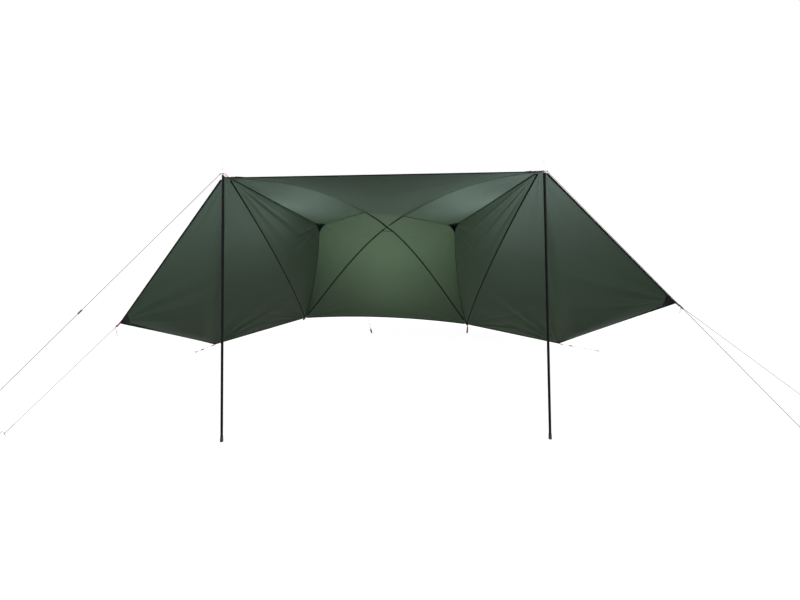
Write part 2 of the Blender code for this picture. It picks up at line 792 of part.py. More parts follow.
def build_guys(tent):
    for name, start, peg, radius in guy_lines():
        lean = Vector((peg.x - start.x, peg.y - start.y, 0.0)).normalized()
        build_peg(tent, f"{name}_peg", peg, lean)
        neck = peg_point(peg, lean, 0.6)
        shank = (neck - peg).normalized()
        towards = (neck - start).normalized()
        cosine = abs(towards.dot(shank))
        sine = math.sqrt(1.0 - cosine ** 2)
        end = neck - towards * ((PEG_RADIUS + radius * cosine) / sine + 2 * GAP)
        add_tube(f"{name}_guy", [start, end], radius, "guy_cord", tent)
        if name in RUNNERS_AT:
            build_runner(tent, name, start, end, radius, RUNNERS_AT[name])


def peg_point(peg, lean, part):
    """A point of the peg's leaning shank, part of the way up."""
    return peg + lean * PEG_LEAN * PEG_HEIGHT * part + Vector((0.0, 0.0, PEG_HEIGHT * part))


def build_peg(tent, name, peg, lean):
    """The part of a bent steel peg that stands above the ground, hooked over the guy."""
    foot = peg_point(peg, lean, 0.0) + Vector((0.0, 0.0, PEG_RADIUS * PEG_LEAN + GAP))
    head = peg_point(peg, lean, 0.85)
    across = lean * 0.010
    points = [
        foot, head, head + Vector((0.0, 0.0, 0.006)) + across * 0.4, head + Vector((0.0, 0.0, 0.008)) + across,
        head + Vector((0.0, 0.0, 0.006)) + across * 1.7, head + across * 2.0 - Vector((0.0, 0.0, 0.006)),
    ]
    add_tube(name, points, PEG_RADIUS, "peg_steel", tent)


def build_runner(tent, name, start, end, radius, part):
    """A plastic runner that slides along the straight guy."""
    along = (end - start).normalized()
    centre = start.lerp(end, part)
    bore = radius + RUNNER_PLAY
    round_side = [
        (-RUNNER_LENGTH / 2, bore), (-RUNNER_LENGTH / 2, RUNNER_WIDTH / 2 - 0.001),
        (-RUNNER_LENGTH / 2 + 0.001, RUNNER_WIDTH / 2), (-0.004, RUNNER_WIDTH / 2), (0.0, RUNNER_WIDTH / 2 - 0.0012),
        (0.004, RUNNER_WIDTH / 2), (RUNNER_LENGTH / 2 - 0.001, RUNNER_WIDTH / 2),
        (RUNNER_LENGTH / 2, RUNNER_WIDTH / 2 - 0.001), (RUNNER_LENGTH / 2, bore),
    ]
    slide = add_empty(f"{name}_slide", centre, tent)
    add_turned(f"{name}_runner", round_side, Vector(), along, "runner_plastic", slide)
    print(f"{name}_slide", tuple(round(c, 6) for c in along), tuple(round(c, 5) for c in centre))


def build_ground_ties(tent):
    """The strap from the right back corner, and the cord and tab at the middle of the back hem."""
    up = Vector((0.0, 0.0, 1.0))
    level = TAPE_THICKNESS / 2 + GAP
    pocket = pole_foot(RIGHT)
    end = Vector((STRAP_END[0], STRAP_END[1], level))
    out = (end - pocket)
    out.z = 0.0
    out = out.normalized()
    start = Vector((pocket.x, pocket.y, level)) + out * POCKET_RADIUS * 0.96
    add_strap("right_back_strap", [start, end], STRAP_WIDTH, out.cross(up), "red_webbing", tent)

    hem = back_hem_rail()
    place = HEM_CORD_AT * (len(hem) - 1)
    middle = hem[int(place)].lerp(hem[int(place) + 1], place - int(place))
    tab_end = Vector((TAB_END[0], TAB_END[1], level))
    out = (tab_end - middle).normalized()
    tab_start = tab_end - out * TAB_LENGTH
    add_strap("hem_tab", [tab_start, tab_end], STRAP_WIDTH, out.cross(up), "red_webbing", tent)
    upper = middle + out * (HEM_RADIUS + CLOTH_GAP + GUY_RADIUS / 4)
    add_tube("hem_cord", [upper, tab_start - out * GAP], GUY_RADIUS, "red_webbing", tent)


def build():
    tent = add_empty("tent", (-CENTRE_X, -CENTRE_Y, 0.0))
    build_cloth(tent)
    build_seams(tent)
    build_patches(tent)
    for side in SIDES:
        path = [pole_foot(side)] + POLES[side.name]
        pole = cut_path(path, POCKET_SOLE + GAP, POLE_TRIM)
        add_tube(f"{side.name}_flexible_pole", pole, FLEX_RADIUS, "fibreglass", tent)
        sleeve = cut_path(path, POCKET_LENGTH + GAP, PEAK_TRIM)
        add_tube(f"{side.name}_pole_sleeve", sleeve, SLEEVE_RADIUS, "dark_tape", tent, SLEEVE_BORE)
        build_upright(tent, side)
    build_tapes(tent)
    build_guys(tent)
    build_ground_ties(tent)


clear_scene()
PART = new_collection("car_side_tent")
CUTTERS = new_collection("cutters")
CROSSING = crossing_fractions()
POLES = {side.name: pole_path(side) for side in SIDES}
build()
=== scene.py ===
"""Car side tent, open towards -Y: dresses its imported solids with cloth, seams, webbing, cords and finishes.

Lengths are metres. Places are written as on the tent's plan, with X from the middle of the front edge, Y into
the tent and Z up, and in_frame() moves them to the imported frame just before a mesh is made.
"""

from __future__ import annotations
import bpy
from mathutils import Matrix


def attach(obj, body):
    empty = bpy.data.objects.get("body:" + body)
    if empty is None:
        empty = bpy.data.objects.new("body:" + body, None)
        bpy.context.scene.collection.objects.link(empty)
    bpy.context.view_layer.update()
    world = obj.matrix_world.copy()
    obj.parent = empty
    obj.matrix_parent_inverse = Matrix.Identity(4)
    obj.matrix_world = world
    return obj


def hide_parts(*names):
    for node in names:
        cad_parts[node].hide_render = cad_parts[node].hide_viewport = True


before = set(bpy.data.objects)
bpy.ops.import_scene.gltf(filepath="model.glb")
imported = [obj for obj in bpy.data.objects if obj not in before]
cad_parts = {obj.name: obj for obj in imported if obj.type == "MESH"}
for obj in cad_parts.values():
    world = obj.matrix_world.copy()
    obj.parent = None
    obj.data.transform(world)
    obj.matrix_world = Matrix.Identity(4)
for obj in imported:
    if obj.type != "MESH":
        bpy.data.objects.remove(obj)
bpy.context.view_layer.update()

import logging
import math
from dataclasses import dataclass, field
from enum import Enum
from functools import partial
from typing import Any, Callable, Sequence

import bpy
import numpy as np
from mathutils import Vector

logging.basicConfig(level=logging.INFO, format="%(message)s")
log = logging.getLogger("side_tent")

Array = np.ndarray
Place = tuple[float, float, float]
Rail = Callable[[Array], Array]
Surface = Callable[[Array, Array], Array]
PLAN_ORIGIN = np.array([0.1065, 1.68, 0.0])
INSIDE = np.array([0.0, 1.5, 0.7])
SHELTER = "shelter"

# Rows of the cloth's rails: from a peak by the eave fold and the poles' crossing to the back corner
EAVE, CROSSING, BAR, CORNER = 9.0, 12.0, 13.0, 22.0


def spot(x: float, y: float, z: float) -> Array:
    """A point of the plan."""
    return np.array([x, y, z], float)


def in_frame(points: Array) -> Array:
    """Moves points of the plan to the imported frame."""
    return np.asarray(points, float) - PLAN_ORIGIN


UP = spot(0.0, 0.0, 1.0)


def unit(vectors: Array) -> Array:
    """Vectors scaled to length one."""
    lengths = np.linalg.norm(vectors, axis=-1, keepdims=True)
    return vectors / np.maximum(lengths, 1e-12)


def column(values: Array, whole: float = 1.0) -> Array:
    """Values as shares of a whole, one below the other."""
    return (np.atleast_1d(np.asarray(values, float)) / whole)[:, None]


def arch(shares: Array) -> Array:
    """A flat arch over the shares 0 to 1, of height one."""
    return 4.0 * shares * (1.0 - shares)


def distances(path: Array) -> Array:
    """How far along a path each of its points lies."""
    return np.concatenate([[0.0], np.cumsum(np.linalg.norm(np.diff(path, axis=0), axis=1))])


def swell(shares: Array, rise: float, fall: float) -> Array:
    """A rise from 0 to 1 over the first share and a fall back to 0 over the last one, both soft."""
    up = np.sin(np.pi / 2 * np.minimum(shares / rise, 1.0))
    return up * np.sin(np.pi / 2 * np.minimum((1.0 - shares) / fall, 1.0))


def smooth(low: float, high: float, values: Array) -> Array:
    """A soft step from 0 at low to 1 at high."""
    part = np.clip((np.asarray(values, float) - low) / (high - low), 0.0, 1.0)
    return part * part * (3.0 - 2.0 * part)


# The tent's shape
@dataclass(frozen=True, eq=False)
class Side:
    """One side of the tent: its corners and the run of its pole."""

    name: str
    sign: int
    peak: Array
    back: Array
    corner: Array
    wing: Array
    shoulder: Array
    eave_at: float
    pole_slope: float
    eyelet_height: float = 1.985
    eyelet_span: float = 2.38
    foot_span: float = 2.434

    @property
    def eyelet(self) -> Array:
        """Where the spike goes through the peak tape."""
        return spot(self.sign * self.eyelet_span / 2, 0.0, self.eyelet_height)

    @property
    def foot(self) -> Array:
        """Where the upright stands."""
        return spot(self.sign * self.foot_span / 2, 0.0, 0.0)

    @property
    def wing_start(self) -> Array:
        """Where the wing's upper edge meets the upright."""
        return spot(self.eyelet[0], 0.0, self.peak[2] + 0.005)


LEFT = Side(
    "left", -1, spot(-1.152, 0.0, 1.960), spot(-1.192, 3.32, 0.05), spot(-2.066, 2.127, 0.05),
    spot(-2.197, 0.40, 0.780), spot(-0.775, 2.004, 1.484), 0.573, 0.673,
)
RIGHT = Side(
    "right", 1, spot(1.152, 0.0, 1.986), spot(1.131, 2.97, 0.035), spot(2.062, 2.051, 0.05),
    spot(2.410, 0.40, 0.909), spot(0.831, 2.004, 1.469), 0.600, 0.915,
)
SIDES = (LEFT, RIGHT)
OTHER = {"left": RIGHT, "right": LEFT}


@dataclass
class TentShape:
    """The curves that the cloth hangs on, all as points of the plan."""

    meeting: Array = field(default_factory=lambda: spot(0.027, 1.539, 1.490))
    bar_distance: float = 0.10
    crossing_lift: float = 0.0085
    shoulder_bow: float = 0.046
    side_bow: float = 0.045
    hem_rise: float = 0.055
    sleeve_drop: float = 0.0095
    crossing: dict[str, float] = field(default_factory=dict)
    bar: dict[str, float] = field(default_factory=dict)

    def __post_init__(self) -> None:
        """Finds where along each pole the two cross in plan."""
        a, b, c, d = LEFT.back[:2], RIGHT.peak[:2], RIGHT.back[:2], LEFT.peak[:2]
        one, two, gap = b - a, d - c, c - a
        across = one[0] * two[1] - one[1] * two[0]
        self.crossing["left"] = (gap[0] * two[1] - gap[1] * two[0]) / across
        self.crossing["right"] = (gap[0] * one[1] - gap[1] * one[0]) / across
        for side in SIDES:
            run = np.linalg.norm(OTHER[side.name].peak[:2] - side.back[:2])
            self.bar[side.name] = self.crossing[side.name] - self.bar_distance / run

    def pole(self, side: Side, fraction: Array) -> Array:
        """Points of the bent pole from its back corner (0) to the other side's peak (1).

        Args:
            side: The side whose back corner the pole stands in.
            fraction: How far along the pole, in plan.

        Returns:
            One point for each fraction.
        """
        t = np.atleast_1d(np.asarray(fraction, float))
        start, end, met = side.back, OTHER[side.name].peak, self.meeting
        c = self.crossing[side.name]
        straight = start + (end - start) * t[:, None]
        bend = (t * (1.0 - t) / (c * (1.0 - c)))[:, None]
        place = straight + (met - (start + (end - start) * c)) * bend
        fullness = math.log((end[2] - met[2]) / (end[2] - start[2])) / math.log(1.0 - c)
        front = end[2] - (end[2] - start[2]) * np.maximum(1.0 - t, 0.0) ** fullness
        run = np.linalg.norm(end[:2] - start[:2])
        p = t / c
        low, high = side.pole_slope * run * c, (end[2] - met[2]) * fullness / (1.0 - c) * c
        rear = (
            start[2] * (2 * p**3 - 3 * p**2 + 1) + low * (p**3 - 2 * p**2 + p)
            + met[2] * (3 * p**2 - 2 * p**3) + high * (p**3 - p**2)
        )
        place[:, 2] = np.where(t >= c, front, rear)
        return place

    def pole_rail(self, side: Side, rows: Array) -> Array:
        """The poles' line from a peak by the crossing to the back corner of the same side."""
        s = np.atleast_1d(np.asarray(rows, float))
        far, own = OTHER[side.name], side
        eave, meet, bar = side.eave_at, self.crossing[far.name], self.bar[own.name]
        on_far = np.interp(s, [0.0, EAVE, CROSSING], [1.0, eave, meet])
        on_own = np.interp(s, [CROSSING, BAR, CORNER], [self.crossing[own.name], bar, 0.0])
        ahead = (s <= CROSSING)[:, None]
        return np.where(ahead, self.pole(far, on_far), self.pole(own, on_own))

    def cloth_rail(self, side: Side, rows: Array) -> Array:
        """The pole's line as the cloth follows it: under the sleeve in front, beside it behind the eave."""
        rail = self.pole_rail(side, rows)
        rail[:, 2] -= self.sleeve_drop * (1.0 - smooth(8.3, 9.6, rows))
        return rail

    def shoulder_rail(self, side: Side, rows: Array) -> Array:
        """The seam from a peak over the shoulder to the back corner."""
        s = column(rows)
        t = np.clip(s - EAVE, 0.0, None) / (CORNER - EAVE)
        rear = self.bowed(side, side.shoulder, self.shoulder_bow, t)
        front = side.peak + (side.shoulder - side.peak) * (s / EAVE)
        return np.where(s <= EAVE, front, rear)

    def bowed(self, side: Side, start: Array, bow: float, shares: Array) -> Array:
        """A line to the back corner, drawn in towards the tent's middle."""
        line = start + (side.back - start) * shares
        line[:, 0] -= side.sign * bow * arch(shares)[:, 0]
        return line

    def side_rail(self, side: Side, rows: Array) -> Array:
        """The long seam from a peak to the back corner."""
        return self.bowed(side, side.peak, self.side_bow, column(rows, CORNER))

    def fold_line(self, side: Side, rows: Array) -> Array:
        """The soft fold from a peak to the side corner."""
        return side.peak + (side.corner - side.peak) * column(rows, CORNER)

    def wing_rail(self, side: Side, rows: Array) -> Array:
        """The free upper edge of the wing."""
        return side.wing_start + (side.wing - side.wing_start) * column(rows, CORNER)

    def pole_line(self, side: Side, start: float, end: float, count: int) -> Array:
        """The centre line of one pole with its lift at the crossing."""
        t = np.linspace(start, end, count)
        line = self.pole(side, t)
        c, bar = self.crossing[side.name], self.bar[side.name]
        after = c + (OTHER[side.name].eave_at - c) / 3
        line[:, 2] -= side.sign * self.crossing_lift * smooth(0, 1, np.interp(t, [bar, c, after], [0, 1, 0]))
        return line


SHAPE = TentShape()


# Meshes
def select_all_off() -> None:
    """Deselects everything, so that the next operator acts on its own piece alone."""
    bpy.ops.object.select_all(action="DESELECT")


def select_only(obj: bpy.types.Object) -> None:
    """Deselects everything and makes one object the active one."""
    select_all_off()
    obj.select_set(True)
    bpy.context.view_layer.objects.active = obj


def apply_modifiers(obj: bpy.types.Object) -> None:
    """Applies the object's modifiers in order."""
    select_only(obj)
    for modifier in list(obj.modifiers):
        bpy.ops.object.modifier_apply(modifier=modifier.name)


def edit_whole(obj: bpy.types.Object, *steps: Callable[[], Any]) -> None:
    """Runs operators on the whole of one mesh, in edit mode."""
    select_only(obj)
    bpy.ops.object.mode_set(mode="EDIT")
    bpy.ops.mesh.select_all(action="SELECT")
    for step in steps:
        step()
    bpy.ops.object.mode_set(mode="OBJECT")


def face_outwards() -> None:
    """Points the selected faces out of their closed piece."""
    bpy.ops.mesh.normals_make_consistent(inside=False)


def thicken(obj: bpy.types.Object, thickness: float) -> None:
    """Gives a sheet its thickness, half to each side."""
    body = obj.modifiers.new("Cloth", "SOLIDIFY")
    body.thickness = thickness
    body.offset = 0.0
    apply_modifiers(obj)


def settle(name: str, place: Array, share: Place) -> bpy.types.Object:
    """Names the primitive that was added last and flattens it about its place.

    Args:
        name: The piece's name.
        place: Where it lies, on the plan.
        share: How much of its size is left along X, Y and Z.

    Returns:
        The piece, shaded smooth.
    """
    obj = bpy.context.active_object
    obj.name = name
    select_only(obj)
    bpy.ops.object.transform_apply(location=True, rotation=True, scale=True)
    centre = in_frame(place).tolist()
    edit_whole(obj, lambda: bpy.ops.transform.resize(value=share, center_override=centre))
    bpy.ops.object.shade_smooth()
    return obj


def new_object(name: str, verts: Array, faces: Sequence[Sequence[int]], uvs: Array) -> bpy.types.Object:
    """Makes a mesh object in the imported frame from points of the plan.

    Args:
        name: The piece's name.
        verts: Points of the plan.
        faces: Corner indices of each face.
        uvs: A coordinate in metres for each vertex.

    Returns:
        The new object, linked to the scene and shaded smooth.
    """
    mesh = bpy.data.meshes.new(name)
    mesh.from_pydata(in_frame(verts).tolist(), [], [list(face) for face in faces])
    layer = mesh.uv_layers.new(name="Cloth")
    corner_verts = np.zeros(len(mesh.loops), np.int32)
    mesh.loops.foreach_get("vertex_index", corner_verts)
    layer.data.foreach_set("uv", np.asarray(uvs, np.float32)[corner_verts].ravel())
    mesh.polygons.foreach_set("use_smooth", np.ones(len(mesh.polygons), bool))
    mesh.update()
    obj = bpy.data.objects.new(name, mesh)
    bpy.context.scene.collection.objects.link(obj)
    return obj


def grid_faces(rows: int, columns: int, flip: bool = False) -> list[tuple[int, int, int, int]]:
    """Faces of a grid whose points are numbered row by row."""
    index = np.arange(rows * columns).reshape(rows, columns)
    quads = np.stack([index[:-1, :-1], index[1:, :-1], index[1:, 1:], index[:-1, 1:]], -1).reshape(-1, 4)
    return [tuple(q[::-1]) if flip else tuple(q) for q in quads.tolist()]


def sweep(
    name: str, path: Array, across: Array, up: Array, profile: Sequence[tuple[float, float]],
    scale: Array | None = None,
) -> bpy.types.Object:
    """Draws a closed profile along a path and closes both ends.

    Args:
        name: The piece's name.
        path: Points of the plan.
        across: The profile's first direction at each point.
        up: The profile's second direction at each point.
        profile: Corners as distances along across and up, counter-clockwise.
        scale: How large the profile is at each point.

    Returns:
        The closed piece, with UV in metres: round the profile, and along the path.
    """
    count, corners = len(path), len(profile)
    shape = np.asarray(profile, float)
    size = np.ones(count) if scale is None else np.asarray(scale, float)
    offsets = shape[None] * size[:, None, None]
    rings = path[:, None] + across[:, None] * offsets[..., :1] + up[:, None] * offsets[..., 1:]
    uvs = np.stack(np.broadcast_arrays(distances(shape)[None], distances(path)[:, None]), -1).reshape(-1, 2)
    faces = []
    for i in range(count - 1):
        for j in range(corners):
            k = (j + 1) % corners
            faces.append((i * corners + j, i * corners + k, (i + 1) * corners + k, (i + 1) * corners + j))
    faces.append(tuple(range(corners))[::-1])
    faces.append(tuple((count - 1) * corners + j for j in range(corners)))
    obj = new_object(name, rings.reshape(-1, 3), faces, uvs)
    edit_whole(obj, face_outwards)
    return obj


def tangents(path: Array) -> Array:
    """The direction of a path at each of its points."""
    return unit(np.gradient(path, axis=0))


def carried_frames(path: Array, first: Array) -> tuple[Array, Array]:
    """Two directions square to a path that turn as little as they can along it."""
    along = tangents(path)
    across = np.zeros_like(path)
    current = np.asarray(first, float)
    for i, tangent in enumerate(along):
        current = current - tangent * (current @ tangent)
        current = current / np.linalg.norm(current)
        across[i] = current
    return across, np.cross(along, across)


def circle(radius: float, count: int = 12, flat: float = 1.0) -> list[tuple[float, float]]:
    """Corners of a circle, or of an ellipse that is lower by the share given."""
    angles = [2.0 * math.pi * i / count for i in range(count)]
    return [(radius * math.cos(a), radius * flat * math.sin(a)) for a in angles]


def band(low: float, high: float, thickness: float, steps: int = 2) -> list[tuple[float, float]]:
    """Corners of a flat band with rounded edges, from one distance across to the other."""
    half = thickness / 2
    ring = []
    for centre, start in ((high - half, -90.0), (low + half, 90.0)):
        for i in range(steps * 2 + 1):
            a = math.radians(start + 180.0 * i / (steps * 2))
            ring.append((centre + half * math.cos(a), half * math.sin(a)))
    return ring


def tube(
    name: str, path: Array, radius: float, count: int = 12, scale: Array | None = None,
) -> bpy.types.Object:
    """A round bar along a path."""
    first = UP if abs(tangents(path)[0][2]) < 0.9 else spot(1.0, 0.0, 0.0)
    across, up = carried_frames(path, first)
    return sweep(name, path, across, up, circle(radius, count), scale)


def spline(points: Sequence[Array], spacing: float) -> Array:
    """A smooth curve through points, sampled about as finely as the spacing asks."""
    knots = np.array(points, float)
    padded = np.vstack([2 * knots[0] - knots[1], knots, 2 * knots[-1] - knots[-2]])
    curve = []
    for i in range(1, len(padded) - 2):
        a, b, c, d = padded[i - 1:i + 3]
        steps = max(2, int(math.ceil(np.linalg.norm(c - b) / spacing)))
        square, cube = 2 * a - 5 * b + 4 * c - d, 3 * b - a - 3 * c + d
        for t in np.arange(steps) / steps:
            curve.append(0.5 * (2 * b + (c - a) * t + square * t**2 + cube * t**3))
    curve.append(knots[-1])
    return np.array(curve)


# Finishes
def linear(code: str) -> tuple[float, float, float, float]:
    """An sRGB hex colour as linear light."""
    channels = [int(code[i:i + 2], 16) / 255.0 for i in (1, 3, 5)]
    return tuple(c / 12.92 if c <= 0.04045 else ((c + 0.055) / 1.055) ** 2.4 for c in channels) + (1.0,)


WHITE = (1.0, 1.0, 1.0, 1.0)
# A wave texture of scale 1 repeats every 0.314 units
WAVE_PITCH = 0.314


class Ridges(Enum):
    """The way in which the ridges of a wave follow each other."""

    AROUND = "X"
    ALONG = "Y"


class Nodes:
    """The node tree of a material or world, with short calls for the nodes that are used here.

    Each call but add() gives the new node's output socket.
    """

    def __init__(self, owner: Any) -> None:
        """Takes over the tree of a material or world and empties it."""
        owner.use_nodes = True
        self.tree = owner.node_tree
        self.tree.nodes.clear()

    def add(self, kind: str, inputs: dict[Any, Any] | None = None, **settings: Any) -> Any:
        """Adds a node, sets it and fills or links its sockets.

        Args:
            kind: The node's type, after the word that all of them start with.
            inputs: A value or an output socket for each input, by name or number.
            **settings: The node's own properties.

        Returns:
            The node.
        """
        node = self.tree.nodes.new("ShaderNode" + kind)
        for key, value in settings.items():
            setattr(node, key, value)
        self.fill(node, inputs or {})
        return node

    def fill(self, node: Any, inputs: dict[Any, Any]) -> None:
        """Fills or links a node's sockets."""
        for key, value in inputs.items():
            if isinstance(value, bpy.types.NodeSocket):
                self.tree.links.new(value, node.inputs[key])
            else:
                node.inputs[key].default_value = value

    def place(self, kind: str) -> Any:
        """The piece's own coordinates: Object, or UV in metres."""
        return self.add("TexCoord").outputs[kind]

    def math(self, operation: str, *values: Any) -> Any:
        """The result of one sum."""
        return self.add("Math", dict(enumerate(values)), operation=operation).outputs[0]

    def noise(self, scale: float, detail: float) -> Any:
        """Cloudy noise on the piece's own place."""
        cloud = {"Vector": self.place("Object"), "Scale": scale, "Detail": detail}
        return self.add("TexNoise", cloud).outputs["Fac"]

    def wave(self, place: Any, pitch: float, way: Ridges, **inputs: float) -> Any:
        """Parallel ridges, with their pitch in metres."""
        wave = {"Vector": place, "Scale": WAVE_PITCH / pitch, **inputs}
        return self.add("TexWave", wave, bands_direction=way.value).outputs["Fac"]

    def spread(self, value: Any, low: float, high: float, start: float = 0.0, end: float = 1.0) -> Any:
        """A value from start to end, moved to run from low to high."""
        limits = {"Value": value, "From Min": start, "From Max": end, "To Min": low, "To Max": high}
        return self.add("MapRange", limits).outputs[0]

    def scaled(self, colour: Any, share: Any) -> Any:
        """A colour made lighter or darker."""
        return self.add("VectorMath", {0: colour, "Scale": share}, operation="SCALE").outputs[0]

    def mix(self, share: Any, first: Any, second: Any) -> Any:
        """A colour between two."""
        return self.add("Mix", {0: share, 6: first, 7: second}, data_type="RGBA").outputs[2]

    def blend(self, share: Any, first: Any, second: Any) -> Any:
        """A surface between two."""
        return self.add("MixShader", {0: share, 1: first, 2: second}).outputs[0]

    def bump(self, height: Any, strength: float, distance: float = 0.0004) -> Any:
        """Relief, with its height in metres."""
        return self.add("Bump", {"Height": height, "Strength": strength, "Distance": distance}).outputs[0]


@dataclass(frozen=True)
class Finish:
    """One real finish. build() makes its material once."""

    name: str
    colour: str
    slot: str
    roughness: float = 0.5
    metallic: float = 0.0
    gloss: float = 0.5

    def build(self) -> bpy.types.Material:
        """The finish's material."""
        found = bpy.data.materials.get(self.name)
        if found:
            return found
        material = bpy.data.materials.new(self.name)
        nodes = Nodes(material)
        plain = {"Metallic": self.metallic, "Roughness": self.roughness, "Specular IOR Level": self.gloss}
        shader = nodes.add("BsdfPrincipled", plain)
        nodes.fill(shader, self.dress(nodes))
        nodes.add("OutputMaterial", {"Surface": self.face(nodes, shader)})
        return material

    def dress(self, nodes: Nodes) -> dict[str, Any]:
        """The pattern, relief and variation of the finish, by the shader's sockets."""
        raise NotImplementedError

    def face(self, nodes: Nodes, shader: Any) -> Any:
        """The surface that the material shows."""
        return shader.outputs[0]

    def speckle(self, nodes: Nodes, scale: float, spread: float) -> Any:
        """The finish's colour, lighter and darker in patches on the piece's own place."""
        patches = nodes.spread(nodes.noise(scale, 3.0), 1 - spread, 1 + spread, 0.3, 0.7)
        return nodes.scaled(linear(self.colour)[:3], patches)


@dataclass(frozen=True)
class CoatedPolyester(Finish):
    """Plain-woven polyester with a thin coating: satin, and it glows when light comes through it."""

    glow: str = "#768374"
    thinness: float = 0.8
    pitch: float = 0.003

    def dress(self, nodes: Nodes) -> dict[str, Any]:
        """A satin face over crossing threads.

        The real threads stand 0.3 mm apart. They are drawn ten times as coarse, so that they show.
        """
        place = nodes.place("UV")
        threads = [nodes.wave(place, self.pitch, way, Distortion=0.3) for way in Ridges]
        return {
            "Base Color": self.speckle(nodes, 1.6, 0.06),
            "Roughness": nodes.spread(nodes.noise(6.0, 4.0), self.roughness - 0.06, self.roughness + 0.06),
            "Normal": nodes.bump(nodes.math("MULTIPLY", *threads), 0.12),
            "Sheen Weight": 0.08, "Sheen Roughness": 0.45, "Sheen Tint": linear("#dfe8e4"),
        }

    def face(self, nodes: Nodes, shader: Any) -> Any:
        """The satin face, mixed with the light that passes the cloth."""
        relief = shader.inputs["Normal"].links[0].from_socket
        through = nodes.add("BsdfTranslucent", {"Color": linear(self.glow), "Normal": relief}).outputs[0]
        return nodes.blend(self.thinness, shader.outputs[0], through)


@dataclass(frozen=True)
class StitchedTape(Finish):
    """Folded woven tape or felled cloth, with one or two rows of lock stitch along it."""

    thread: str = "#2d332f"
    rows: tuple[float, ...] = (0.003, 0.010)
    stitch: float = 0.0045
    drawn: float = 0.78
    thread_width: float = 0.0006

    def dress(self, nodes: Nodes) -> dict[str, Any]:
        """Ribs across the tape and sunk stitches along it."""
        place = nodes.place("UV")
        axes = nodes.add("SeparateXYZ", {0: place}).outputs
        run = nodes.math("WRAP", axes["Y"], self.stitch, 0.0)
        on = nodes.math("LESS_THAN", run, self.stitch * self.drawn)
        lines = [nodes.math("COMPARE", axes["X"], row, self.thread_width) for row in self.rows]
        stitches = nodes.math("MULTIPLY", nodes.math("MAXIMUM", lines[0], lines[-1]), on)
        height = nodes.math("MULTIPLY_ADD", stitches, -0.8, nodes.wave(place, 0.0016, Ridges.ALONG))
        return {
            "Base Color": nodes.mix(stitches, self.speckle(nodes, 9.0, 0.1), linear(self.thread)),
            "Normal": nodes.bump(height, 0.35),
        }


@dataclass(frozen=True)
class WovenWebbing(Finish):
    """Heavy woven polyester webbing: matt, with fine ribs across and firm edges."""

    pitch: float = 0.0022

    def dress(self, nodes: Nodes) -> dict[str, Any]:
        """Ribs across the webbing and warp lines along it."""
        place = nodes.place("UV")
        ribs = nodes.wave(place, self.pitch, Ridges.ALONG, Distortion=0.8, Detail=1.0)
        height = nodes.math("ADD", ribs, nodes.wave(place, 0.0035, Ridges.AROUND))
        # The colour is darker in the grooves between the ribs and a little lighter on their crests: painted
        # shade.
        return {
            "Base Color": nodes.scaled(self.speckle(nodes, 60.0, 0.12), nodes.spread(ribs, 0.78, 1.08)),
            "Normal": nodes.bump(height, 0.5, 0.0005), "Sheen Weight": 0.2,
        }


@dataclass(frozen=True)
class BraidedCord(Finish):
    """Round braided polyester cord with a darker tracer thread."""

    tracer: str = "#8d6a74"
    pitch: float = 0.004

    def dress(self, nodes: Nodes) -> dict[str, Any]:
        """Two slanting sets of strands that cross over the cord."""
        place = nodes.place("UV")
        turns = [{"Vector": place, "Rotation": (0.0, 0.0, turn)} for turn in (0.7, -0.7)]
        leaning = [nodes.add("Mapping", turn).outputs[0] for turn in turns]
        strands = [nodes.wave(lean, self.pitch, Ridges.ALONG) for lean in leaning]
        trace = nodes.math("GREATER_THAN", strands[0], 0.93)
        return {
            "Base Color": nodes.mix(trace, self.speckle(nodes, 40.0, 0.08), linear(self.tracer)),
            "Normal": nodes.bump(nodes.math("MAXIMUM", *strands), 0.6),
        }


@dataclass(frozen=True)
class HardFinish(Finish):
    """A coated, plated or moulded hard surface with a fine grain and light handling marks."""

    grain: float = 900.0
    depth: float = 0.12
    marks: float = 0.08
    coat: float = 0.0

    def dress(self, nodes: Nodes) -> dict[str, Any]:
        """A fine grain, and a gloss that wanders with handling."""
        low, high = max(self.roughness - self.marks, 0.05), self.roughness + self.marks
        return {
            "Base Color": self.speckle(nodes, 30.0, 0.12),
            "Roughness": nodes.spread(nodes.noise(25.0, 5.0), low, high, 0.3, 0.7),
            "Normal": nodes.bump(nodes.noise(self.grain, 2.0), self.depth, 0.0002),
            "Coat Weight": self.coat,
        }


CLOTH = CoatedPolyester("coated_polyester", "#333d2f", "green_cloth", 0.46, gloss=0.12)
# Its colour is darker than the single cloth's: painted shade for the light that the doubled cloth holds back.
# Its lower thinness also lets less light through.
DOUBLE_CLOTH_PAINTED_SHADE = CoatedPolyester(
    "doubled_polyester_painted_shade", "#161f1b", "patch_cloth", 0.65, gloss=0.05, glow="#1d2820", thinness=0.15
)
HEM_TAPE = StitchedTape("folded_hem_tape", "#101412", "dark_tape", 0.8, gloss=0.05)
FELLED_SEAM = StitchedTape("felled_seam", "#121a14", "dark_tape", 0.8, gloss=0.05, rows=(0.003, 0.008))
SLEEVE_CLOTH = StitchedTape("sleeve_cloth", "#101512", "dark_tape", 0.8, gloss=0.05, rows=(0.004,))
CRIMSON = WovenWebbing("crimson_webbing", "#a31a41", "red_webbing", 0.7, gloss=0.3)
CORD = BraidedCord("braided_cord", "#7d6c73", "guy_cord", 0.75, gloss=0.3)
CRIMSON_CORD = BraidedCord("crimson_cord", "#a31a41", "red_webbing", 0.75, gloss=0.3, tracer="#4a0c1e")
POWDER_COAT = HardFinish(
    "powder_coated_steel", "#0c0e0f", "black_steel", 0.5, 0.0, 0.06, grain=1400.0, depth=0.2
)
RUBBER = HardFinish("moulded_rubber", "#141515", "black_rubber", 0.72, 0.0, grain=600.0, depth=0.25)
PLATED = HardFinish("plated_steel", "#8f9193", "spike_steel", 0.3, 1.0, grain=500.0, depth=0.05)
PEG_WIRE = HardFinish("zinc_plated_wire", "#b7b9bb", "peg_steel", 0.34, 1.0, grain=500.0, depth=0.06)
